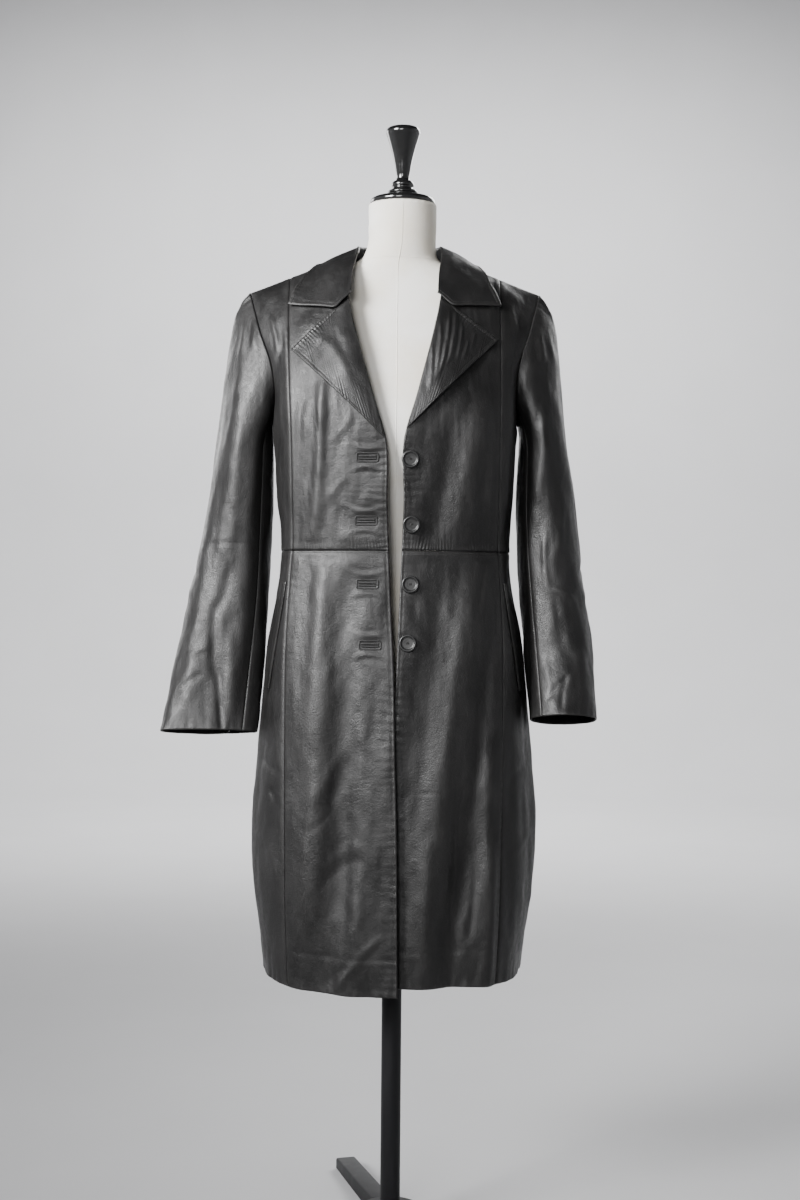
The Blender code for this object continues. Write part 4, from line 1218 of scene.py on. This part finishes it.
@made_once
def thread_material():
    nodes = Nodes("black_thread")
    place = nodes.place(turn=(0.6, 0.4, 0.7))
    twist = nodes.add("TexWave", {"Vector": place, "Scale": 420.0}).outputs["Fac"]
    colour = nodes.ramp(twist, (0.2, (0.010, 0.010, 0.010)), (0.8, (0.028, 0.027, 0.026)))
    return nodes.finish(Base_Color=colour, Roughness=0.55, Normal=nodes.bump(twist, 0.5, 0.0003))


@made_once
def button_material():
    looks = bpy.context.scene.coat_looks
    nodes = Nodes("black_horn_button")
    swirl = nodes.noise(nodes.place(scale=(1, 1, 3)), 120.0, 4.0, distortion=1.5)
    base = tuple(looks.button_colour)
    colour = nodes.ramp(swirl, (0.35, base), (0.75, tuple(2.4 * c for c in base)))
    rough = nodes.span(swirl, 0.28, 0.44)
    return nodes.finish(Base_Color=colour, Roughness=rough, Normal=nodes.bump(swirl, 0.15, 0.0004))


@made_once
def canvas_material():
    looks = bpy.context.scene.coat_looks
    nodes = Nodes("form_canvas")
    place = nodes.place()
    stains = nodes.noise(place, 9.0, 5.0, 0.6)
    slubs = nodes.noise(nodes.place(scale=(1, 1, 0.06)), 620.0)
    thread = {"Vector": place, "Scale": 270.0, "Distortion": 1.2, "Detail": 1.0}
    weft = nodes.add("TexWave", thread, bands_direction="Z").outputs["Fac"]
    warp = nodes.add("TexWave", thread, bands_direction="X").outputs["Fac"]
    weave = nodes.math("MULTIPLY", weft, warp)
    base = tuple(looks.canvas_colour)
    aged = (base[0] * 0.90, base[1] * 0.86, base[2] * 0.78)
    colour = nodes.ramp(stains, (0.32, aged), (0.58, base))
    colour = nodes.mix(nodes.span(slubs, 0.0, 0.22, 0.45, 0.75), colour, (*(0.86 * c for c in base), 1))
    relief = nodes.bump(slubs, 0.20, 0.0005)
    relief = nodes.bump(weave, 0.35, 0.0004, relief)
    return nodes.finish(Base_Color=colour, Roughness=nodes.span(stains, 0.78, 0.92), Normal=relief)


@made_once
def lacquer_material():
    looks = bpy.context.scene.coat_looks
    nodes = Nodes("black_lacquer")
    dust = nodes.noise(nodes.place(), 320.0, 3.0)
    rings = nodes.noise(nodes.place(scale=(0.2, 0.2, 1)), 260.0)
    base = tuple(looks.lacquer_colour)
    colour = nodes.ramp(dust, (0.45, base), (0.85, tuple(2.0 * c for c in base)))
    return nodes.finish(
        Base_Color=colour,
        Roughness=nodes.span(dust, 0.07, 0.20),
        Normal=nodes.bump(rings, 0.06, 0.0004),
        Coat_Weight=0.6,
        Coat_Roughness=0.06,
    )


@made_once
def metal_material():
    looks = bpy.context.scene.coat_looks
    nodes = Nodes("painted_steel")
    spots = nodes.noise(nodes.place(), 900.0)
    scuffs = nodes.noise(nodes.place(scale=(1, 1, 0.15)), 60.0, 4.0)
    base = tuple(looks.metal_colour)
    colour = nodes.ramp(scuffs, (0.45, base), (0.80, tuple(1.8 * c for c in base)))
    return nodes.finish(
        Base_Color=colour,
        Roughness=nodes.span(scuffs, 0.42, 0.60),
        Normal=nodes.bump(spots, 0.12, 0.0003),
        Specular_IOR_Level=0.22,
    )


def stitched_line(sheet, edge, distance):
    """Points and normals along a line at a distance from one edge, on the moved leather."""
    far, points, normals = sheet.far[edge], sheet.points, sheet.normals
    if edge in ("low", "high"):
        far, points, normals = far.T, points.transpose(1, 0, 2), normals.transpose(1, 0, 2)
    line = []
    for row, place, normal in zip(far, points, normals):
        order = np.argsort(row)
        spot = [np.interp(distance, row[order], place[order, k]) for k in range(3)]
        way = [np.interp(distance, row[order], normal[order, k]) for k in range(3)]
        line.append(spot + way)
    return np.array(line)


def evenly(line, pitch):
    """The line's points and normals at equal steps, with the direction at each."""
    steps = np.linalg.norm(np.diff(line[:, :3], axis=0), axis=1)
    run = np.concatenate(((0.0,), np.cumsum(steps)))
    places = np.arange(pitch, run[-1] - pitch, pitch)
    even = np.stack([np.interp(places, run, line[:, k]) for k in range(6)], axis=1)
    ahead = np.stack([np.interp(places + pitch * 0.4, run, line[:, k]) for k in range(3)], axis=1)
    behind = np.stack([np.interp(places - pitch * 0.4, run, line[:, k]) for k in range(3)], axis=1)
    return even, ahead - behind


def stitch_shape(length, radius):
    """One short stitch along X: a small ball drawn out."""
    bm = bmesh.new()
    bmesh.ops.create_uvsphere(bm, u_segments=6, v_segments=5, radius=1)
    bmesh.ops.scale(bm, vec=(radius, radius * 0.8, length / 2), verts=bm.verts[:])
    lying = Matrix.Rotation(math.pi / 2, 3, "Y")
    bmesh.ops.rotate(bm, cent=(0, 0, 0), matrix=lying, verts=bm.verts[:])
    return bm


def frames_matrix(point, along, out):
    """A place at a point, with X along a direction and Z out of the surface."""
    out = Vector(out).normalized()
    along = Vector(along)
    along = (along - out * along.dot(out)).normalized()
    side = out.cross(along)
    return Matrix.Translation(Vector(point)) @ Matrix((along, side, out)).transposed().to_4x4()


def repeated(shape, places):
    """One mesh of many copies of a shape, each put by its matrix."""
    first = mesh_from(shape, "first")
    bm = bmesh.new()
    for place in places:
        copy = first.copy()
        copy.transform(place)
        bm.from_mesh(copy)
        bpy.data.meshes.remove(copy)
    bpy.data.meshes.remove(first)
    return mesh_from(bm, "copies")


def node_frame(name):
    """A flat trim solid's place: local X across, Y up, Z out of the panel, origin on its underside."""
    points = np.array([vert.co for vert in frame["nodes"][name].data.vertices])
    middle = (points.min(axis=0) + points.max(axis=0)) / 2
    out = np.linalg.svd(points - points.mean(axis=0), full_matrices=False)[2][-1]
    if out[1] > 0:
        out = -out
    reach = (points - middle) @ out
    across = Vector(np.cross((0, 0, 1), out))
    return frames_matrix(middle + out * reach.min(), across, out)


def spun(line, steps):
    """A line of radius and height pairs spun about Z, with its seam and poles closed."""
    bm = bmesh.new()
    verts = [bm.verts.new((max(radius, 0), 0, height)) for radius, height in line]
    edges = [bm.edges.new(pair) for pair in zip(verts, verts[1:])]
    bmesh.ops.spin(bm, geom=verts + edges, axis=(0, 0, 1), angle=math.tau, steps=steps, use_merge=True)
    bmesh.ops.remove_doubles(bm, verts=bm.verts[:], dist=MERGE_WITHIN)
    bmesh.ops.recalc_face_normals(bm, faces=bm.faces[:])
    return bm


def turned_shape(profile, steps, rounds=3):
    """A closed solid turned about Z from radius and height pairs, drawn smoothly between them."""
    rows = np.array(profile, float)
    knots = np.concatenate(((0.0,), np.cumsum(np.linalg.norm(np.diff(rows, axis=0), axis=1))))
    places = np.interp(np.arange(0, len(rows) - 1 + 0.5 / rounds, 1 / rounds), range(len(rows)), knots)
    rows = drawn_along(knots, rows[:, None, :], places)[:, 0]
    bm = spun([(0, rows[0][1]), *rows, (0, rows[-1][1])], steps)
    if bm.calc_volume(signed=True) < 0:
        bmesh.ops.reverse_faces(bm, faces=bm.faces[:])
    return bm


def mesh_from(bm, name):
    """The finished bmesh as a smoothly shaded mesh."""
    mesh = bpy.data.meshes.new(name)
    bm.to_mesh(mesh)
    bm.free()
    mesh.shade_smooth()
    return mesh


def tube_mesh(points, radius, closed=False, sides=3):
    """A round cord through the points, as a mesh."""
    curve = bpy.data.curves.new("cord", "CURVE")
    curve.dimensions = "3D"
    curve.bevel_depth = radius
    curve.bevel_resolution = sides
    curve.use_fill_caps = True
    spline = curve.splines.new("POLY")
    spline.points.add(len(points) - 1)
    spline.use_cyclic_u = closed
    for spot, point in zip(spline.points, points):
        spot.co = (*point, 1)
    obj = bpy.data.objects.new("cord", curve)
    mesh = bpy.data.meshes.new_from_object(obj)
    bpy.data.objects.remove(obj)
    bpy.data.curves.remove(curve)
    return mesh


class CoatLooks(bpy.types.PropertyGroup):
    """Sizes and colours of the coat, the form and the stand."""

    leather_wall: FloatProperty(
        name="Leather", description="Thickness of the leather shells", default=0.0020, unit="LENGTH"
    )
    grain_size: FloatProperty(
        name="Grain", description="Size of the leather's grain", default=0.0013, unit="LENGTH"
    )
    leather_roughness: FloatProperty(
        name="Roughness", description="Middle roughness of the leather",
        default=0.42, min=0, max=1, subtype="FACTOR"
    )
    leather_colour: FloatVectorProperty(
        name="Leather colour", description="Dyed leather", default=(0.010, 0.0097, 0.0097), subtype="COLOR"
    )
    worn_colour: FloatVectorProperty(
        name="Worn leather", description="Rubbed edges and crests",
        default=(0.036, 0.035, 0.034), subtype="COLOR"
    )
    button_colour: FloatVectorProperty(
        name="Buttons", description="Button colour", default=(0.009, 0.009, 0.009), subtype="COLOR"
    )
    canvas_colour: FloatVectorProperty(
        name="Canvas", description="Canvas of the form", default=(0.82, 0.80, 0.755), subtype="COLOR"
    )
    lacquer_colour: FloatVectorProperty(
        name="Lacquer", description="Cap and finial", default=(0.006, 0.006, 0.006), subtype="COLOR"
    )
    metal_colour: FloatVectorProperty(
        name="Steel", description="Painted pole and foot", default=(0.007, 0.007, 0.008), subtype="COLOR"
    )
    stitch_pitch: FloatProperty(
        name="Stitch pitch", description="Distance from stitch to stitch", default=0.0036, unit="LENGTH"
    )
    stitch_length: FloatProperty(
        name="Stitch length", description="Length of one stitch", default=0.0028, unit="LENGTH"
    )
    stitch_radius: FloatProperty(
        name="Thread", description="Half the thread's thickness", default=0.00042, unit="LENGTH"
    )
    turned_steps: IntProperty(
        name="Turned steps", description="Steps round each turned piece", default=96, min=16
    )


class CoatStage(bpy.types.PropertyGroup):
    """Camera, floor and lights."""

    camera_distance: FloatProperty(
        name="Distance", description="Camera in front of the pole", default=2.6, unit="LENGTH"
    )
    camera_height: FloatProperty(
        name="Height", description="Camera over the floor", default=0.93, unit="LENGTH"
    )
    camera_across: FloatProperty(
        name="Across", description="Camera to the side", default=0.0074, unit="LENGTH"
    )
    camera_roll: FloatProperty(
        name="Roll", description="Lean of the camera", default=-0.0085, unit="ROTATION"
    )
    lens: FloatProperty(name="Lens", description="Focal length in millimetres", default=52.41)
    floor_colour: FloatVectorProperty(
        name="Floor", description="Pale floor and backdrop", default=(0.62, 0.62, 0.63), subtype="COLOR"
    )
    sky_strength: FloatProperty(
        name="Sky", description="Strength of the even light", default=0.06, min=0
    )
    key_power: FloatProperty(
        name="Key light", description="Soft light from the viewer's left", default=27, unit="POWER"
    )
    fill_power: FloatProperty(
        name="Fill light", description="Soft light beside the camera", default=6.5, unit="POWER"
    )
    rear_power: FloatProperty(
        name="Rear light", description="Soft light from behind", default=20, unit="POWER"
    )
    side_power: FloatProperty(
        name="Side light", description="Soft light from behind on the viewer's left",
        default=5, unit="POWER"
    )
    wall_power: FloatProperty(
        name="Wall lights", description="Soft light on the wall behind the part", default=260, unit="POWER"
    )


class CoatOperator(bpy.types.Operator):
    """What all the operators share."""

    bl_options = {"REGISTER", "UNDO"}

    @classmethod
    def poll(cls, context):
        return context.mode == "OBJECT"


class COAT_OT_panels(CoatOperator):
    """Bodice and skirt panels"""

    bl_idname = "coat.panels"
    bl_label = "Bodice and skirt"

    def execute(self, context):
        build_cloth(PANELS)
        return {"FINISHED"}


class COAT_OT_sleeves(CoatOperator):
    """Upper and under sleeves"""

    bl_idname = "coat.sleeves"
    bl_label = "Sleeves"

    def execute(self, context):
        build_cloth(SLEEVES)
        return {"FINISHED"}


class COAT_OT_collar(CoatOperator):
    """Collar and lapels"""

    bl_idname = "coat.collar"
    bl_label = "Collar and lapels"

    def execute(self, context):
        build_cloth(NECKWEAR)
        return {"FINISHED"}


class COAT_OT_pockets(CoatOperator):
    """Pocket welts"""

    bl_idname = "coat.pockets"
    bl_label = "Pockets"

    def execute(self, context):
        build_cloth(WELTS, WALL_OF_TRIM)
        return {"FINISHED"}


class COAT_OT_stitching(CoatOperator):
    """Rows of machine stitches"""

    bl_idname = "coat.stitching"
    bl_label = "Stitching"

    def execute(self, context):
        looks = context.scene.coat_looks
        for name, sheet in sheets.items():
            places = []
            for where, edge, distance in STITCH_ROWS:
                if where != unsided(name):
                    continue
                even, ways = evenly(stitched_line(sheet, edge, distance), looks.stitch_pitch)
                for spot, way in zip(even, ways):
                    out = spot[3:]
                    middle = spot[:3] + out * looks.stitch_radius * STITCH_LIFT
                    places.append(frames_matrix(middle, way, out))
            if places:
                mesh = repeated(stitch_shape(looks.stitch_length, looks.stitch_radius), places)
                new_object(name + "_stitches", mesh, thread_material(), [])
        return {"FINISHED"}


class COAT_OT_buttons(CoatOperator):
    """Four buttons with the thread that holds them"""

    bl_idname = "coat.buttons"
    bl_label = "Buttons"

    radius: FloatProperty(
        name="Radius", description="Radius of a button", default=0.0125, unit="LENGTH"
    )
    thickness: FloatProperty(
        name="Thickness", description="Thickness at the rim", default=0.0045, unit="LENGTH"
    )

    def execute(self, context):
        looks = context.scene.coat_looks
        profile = [(r * self.radius, h * self.thickness) for r, h in BUTTON_PROFILE]
        level = self.thickness * THREAD_LEVEL
        for number in CLOSINGS:
            name = f"button_{number}"
            place = node_frame(name)
            bm = turned_shape(profile, looks.turned_steps // 2)
            bm.transform(place)
            new_object(name + "_turned", mesh_from(bm, name), button_material(), [name])
            bars = [place @ Matrix.Translation((0, offset, level)) for offset in THREAD_BARS]
            mesh = repeated(stitch_shape(THREAD_LENGTH, THREAD_RADIUS), bars)
            new_object(name + "_thread", mesh, thread_material(), [])
        return {"FINISHED"}


class COAT_OT_buttonholes(CoatOperator):
    """Four bound buttonholes: a sewn frame round two lips"""

    bl_idname = "coat.buttonholes"
    bl_label = "Buttonholes"

    length: FloatProperty(
        name="Length", description="Length of the frame", default=0.0305, unit="LENGTH"
    )
    height: FloatProperty(
        name="Height", description="Height of the frame", default=0.0122, unit="LENGTH"
    )
    corner: FloatProperty(
        name="Corner", description="Rounding of the frame", default=0.0026, unit="LENGTH"
    )
    lip: FloatProperty(
        name="Lip", description="Half the width of a lip", default=0.0016, unit="LENGTH"
    )

    def frame_line(self):
        """The middle line of the frame, round its four corners."""
        points = []
        for k in range(4):
            turn = math.pi / 2 * k
            x = math.copysign(self.length / 2 - self.corner, math.cos(turn + math.pi / 4))
            y = math.copysign(self.height / 2 - self.corner, math.sin(turn + math.pi / 4))
            for angle in np.linspace(turn, turn + math.pi / 2, CORNER_POINTS):
                across = x + self.corner * math.cos(angle)
                points.append((across, y + self.corner * math.sin(angle), FRAME_LEVEL))
        return points

    def lip_line(self, level):
        """The middle line of one lip, a little nearer to the other at its ends."""
        reach = self.length / 2 - LIP_INSET
        shares = np.linspace(-1, 1, LIP_POINTS)
        return [(reach * t, level * (1 - LIP_CLOSING * abs(t) ** 3), LIP_LEVEL) for t in shares]

    def execute(self, context):
        for number in CLOSINGS:
            name = f"buttonhole_{number}"
            place = node_frame(name)
            bm = bmesh.new()
            bm.from_mesh(tube_mesh(self.frame_line(), FRAME_RADIUS, closed=True))
            for level in (-self.lip * LIP_SPACING, self.lip * LIP_SPACING):
                bm.from_mesh(tube_mesh(self.lip_line(level), self.lip))
            bmesh.ops.scale(bm, vec=(1, 1, BOUND_FLATNESS), verts=bm.verts[:])
            bm.transform(place)
            mesh = mesh_from(bm, name)
            wear = mesh.attributes.new("wear", "FLOAT", "POINT")
            wear.data.foreach_set("value", np.full(len(mesh.vertices), BOUND_WEAR, np.float32))
            new_object(name + "_bound", mesh, leather_material(), [name])
        return {"FINISHED"}


class COAT_OT_form(CoatOperator):
    """Canvas dress form with its seams"""

    bl_idname = "coat.form"
    bl_label = "Dress form"

    seam: FloatProperty(
        name="Seam", description="Half the thickness of a seam's ridge", default=0.0006, unit="LENGTH"
    )
    neck_z: FloatProperty(
        name="Neck seam", description="Height of the neck's seam", default=1.4335, unit="LENGTH"
    )

    def execute(self, context):
        bm = solid_copy("form_torso")
        flat = [face for face in bm.faces if abs(face.normal.z) > 0.999]
        bmesh.ops.dissolve_faces(bm, faces=flat)
        sides = [face for face in bm.faces if len(face.verts) == 3]
        most = math.radians(60)
        bmesh.ops.join_triangles(bm, faces=sides, angle_face_threshold=most, angle_shape_threshold=most)
        crease = bm.edges.layers.float.new("crease_edge")
        for face in bm.faces:
            if len(face.verts) > 4:
                for edge in face.edges:
                    edge[crease] = 0.8
        mesh = mesh_from(bm, "form_canvas")
        obj = new_object("form_canvas", mesh, canvas_material(), ["form_torso"])
        rounder = obj.modifiers.new("round", "SUBSURF")
        rounder.levels = 2
        rounder.render_levels = 2
        self.seams(context, obj)
        return {"FINISHED"}

    def seams(self, context, obj):
        """Ridges of canvas down the middle of front and back, and round the neck."""
        graph = context.evaluated_depsgraph_get()
        tree = BVHTree.FromObject(obj, graph)
        low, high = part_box("form_torso")
        lines = []
        for way in (1, -1):
            line = []
            for z in np.arange(low.z + SEAM_ABOVE, high.z - SEAM_BELOW, SEAM_STEP):
                lean = LEAN * float(smooth((z - LEAN_FROM) / LEAN_OVER))
                hit = tree.ray_cast(Vector((lean, -way, z)), Vector((0, way, 0)))
                line.append(hit[0])
            lines.append((line, False))
        ring = []
        for step in range(NECK_STEPS):
            angle = math.tau * step / NECK_STEPS
            out = Vector((math.cos(angle), math.sin(angle), 0))
            hit = tree.ray_cast(Vector((NECK_ACROSS, 0, self.neck_z)) + out, -out)
            ring.append(hit[0])
        lines.append((ring, True))
        bm = bmesh.new()
        for line, closed in lines:
            bm.from_mesh(tube_mesh(line, self.seam, closed, sides=2))
        new_object("form_seams", mesh_from(bm, "form_seams"), canvas_material(), [])


class COAT_OT_finial(CoatOperator):
    """Turned neck cap and finial"""

    bl_idname = "coat.finial"
    bl_label = "Cap and finial"

    def execute(self, context):
        for name, profile in (("neck_cap", CAP_PROFILE), ("finial", FINIAL_PROFILE)):
            low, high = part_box(name)
            bm = turned_shape(profile, context.scene.coat_looks.turned_steps)
            foot = ((low.x + high.x) / 2, (low.y + high.y) / 2, low.z - profile[0][1])
            bmesh.ops.translate(bm, verts=bm.verts[:], vec=foot)
            new_object(name + "_turned", mesh_from(bm, name), lacquer_material(), [name])
        return {"FINISHED"}


class COAT_OT_stand(CoatOperator):
    """Pole, hub and legs"""

    bl_idname = "coat.stand"
    bl_label = "Stand"

    edge: FloatProperty(
        name="Edge", description="Rounding of the legs and the hub", default=0.003, unit="LENGTH"
    )
    pole_edge: FloatProperty(
        name="Pole edge", description="Rounding of the pole's top", default=0.0004, unit="LENGTH"
    )

    def execute(self, context):
        steps = context.scene.coat_looks.turned_steps
        for name in ("pole", "base_hub"):
            low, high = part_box(name)
            radius = (high.x - low.x) / 2
            edge = self.edge if name == "base_hub" else self.pole_edge
            profile = [
                (radius, low.z),
                (radius, high.z - edge * 2),
                (radius - edge * 0.25, high.z - edge * 0.8),
                (radius - edge, high.z),
            ]
            bm = turned_shape(profile, steps, rounds=1)
            mesh = mesh_from(bm, name)
            obj = new_object(name + "_turned", mesh, metal_material(), [name])
            obj.data.set_sharp_from_angle(angle=math.radians(40))
        for number in range(1, 4):
            name = f"base_leg_{number}"
            bm = solid_copy(name)
            bmesh.ops.dissolve_limit(bm, angle_limit=0.01, verts=bm.verts[:], edges=bm.edges[:])
            bmesh.ops.bevel(
                bm, geom=bm.edges[:], offset=self.edge, segments=4, profile=0.5, affect="EDGES", material=-1
            )
            mesh = mesh_from(bm, name)
            new_object(name + "_rounded", mesh, metal_material(), [name])
        return {"FINISHED"}


class COAT_OT_stage(CoatOperator):
    """Floor, backdrop, lights and camera"""

    bl_idname = "coat.stage"
    bl_label = "Stage"

    def execute(self, context):
        stage = context.scene.coat_stage
        self.backdrop(stage)
        self.world(stage)
        for name, where in LIGHTS.items():
            self.light(name + "_light", getattr(stage, name + "_power"), *where)
        place, target, size, spread = WALL_LIGHT
        for name, (degrees, share) in WALL_LIGHTS.items():
            turn = Matrix.Rotation(math.radians(degrees), 3, "Z")
            where = (turn @ Vector(place), turn @ Vector(target), size, spread)
            self.light("wall_light_" + name, stage.wall_power * share, *where)
        self.camera(context, stage)
        return {"FINISHED"}

    def backdrop(self, stage):
        """A round floor that curves up into a wall, wide enough for a camera on every side."""
        line = [(radius, 0.0) for radius in FLOOR_RADII]
        for turn in np.linspace(0, math.pi / 2, BEND_POINTS):
            across = BEND_FROM + BEND_RADIUS * math.sin(turn)
            line.append((across, BEND_RADIUS - BEND_RADIUS * math.cos(turn)))
        line.append((BEND_FROM + BEND_RADIUS, WALL_HEIGHT))
        bm = spun(line, STUDIO_STEPS)
        if bm.faces[:][0].normal.z < 0:
            bmesh.ops.reverse_faces(bm, faces=bm.faces[:])
        mesh = mesh_from(bm, "backdrop")
        nodes = Nodes("backdrop_paper")
        speck = nodes.noise(nodes.place(), 3.0, 3.0)
        base = tuple(stage.floor_colour)
        colour = nodes.ramp(speck, (0.3, tuple(0.97 * c for c in base)), (0.7, base))
        mesh.materials.append(nodes.finish(Base_Color=colour, Roughness=0.9))
        obj = bpy.data.objects.new("backdrop", mesh)
        bpy.context.scene.collection.objects.link(obj)
        obj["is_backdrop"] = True

    def world(self, stage):
        world = bpy.data.worlds.new("studio")
        world.use_nodes = True
        shader = world.node_tree.nodes["Background"]
        shader.inputs["Color"].default_value = SKY_COLOUR
        shader.inputs["Strength"].default_value = stage.sky_strength
        bpy.context.scene.world = world

    def light(self, name, power, place, target, size, spread):
        data = bpy.data.lights.new(name, "AREA")
        data.shape = "SQUARE"
        data.size = size
        data.spread = math.radians(spread)
        data.energy = power
        obj = bpy.data.objects.new(name, data)
        obj.location = place
        obj.rotation_euler = (Vector(target) - Vector(place)).to_track_quat("-Z", "Y").to_euler()
        obj.visible_camera = False
        bpy.context.scene.collection.objects.link(obj)

    def camera(self, context, stage):
        data = bpy.data.cameras.new("camera")
        data.sensor_fit = "AUTO"
        data.sensor_width = 36
        data.lens = stage.lens
        data.clip_start = 0.05
        data.clip_end = 60
        obj = bpy.data.objects.new("camera", data)
        obj.location = (stage.camera_across, -stage.camera_distance, stage.camera_height)
        obj.rotation_euler = (math.pi / 2, stage.camera_roll, 0)
        context.scene.collection.objects.link(obj)
        context.scene.camera = obj


BUILDERS = (
    COAT_OT_panels,
    COAT_OT_sleeves,
    COAT_OT_collar,
    COAT_OT_pockets,
    COAT_OT_stitching,
    COAT_OT_buttons,
    COAT_OT_buttonholes,
    COAT_OT_form,
    COAT_OT_finial,
    COAT_OT_stand,
    COAT_OT_stage,
)


class COAT_PT_panel(bpy.types.Panel):
    """Lists the builders and their settings"""

    bl_label = "Leather coat"
    bl_idname = "COAT_PT_panel"
    bl_space_type = "VIEW_3D"
    bl_region_type = "UI"
    bl_category = "Coat"

    def draw(self, context):
        for builder in BUILDERS:
            self.layout.operator(builder.bl_idname)
        for settings in (context.scene.coat_looks, context.scene.coat_stage):
            for name in settings.__annotations__:
                self.layout.prop(settings, name)


CLASSES = (CoatLooks, CoatStage, *BUILDERS, COAT_PT_panel)


def register():
    for cls in CLASSES:
        bpy.utils.register_class(cls)
    bpy.types.Scene.coat_looks = PointerProperty(type=CoatLooks)
    bpy.types.Scene.coat_stage = PointerProperty(type=CoatStage)


def unregister():
    del bpy.types.Scene.coat_stage
    del bpy.types.Scene.coat_looks
    for cls in reversed(CLASSES):
        bpy.utils.unregister_class(cls)


def main():
    register()
    bpy.ops.coat.panels()
    bpy.ops.coat.sleeves()
    bpy.ops.coat.collar()
    bpy.ops.coat.pockets()
    bpy.ops.coat.stitching()
    bpy.ops.coat.buttons()
    bpy.ops.coat.buttonholes()
    bpy.ops.coat.form()
    bpy.ops.coat.finial()
    bpy.ops.coat.stand()
    bpy.ops.coat.stage()
    boxes = {"cad": CAD_BOX, "visual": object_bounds()}
    {name: [list(corner) for corner in box] for name, box in boxes.items()}


if __name__ == "__main__":
    main()
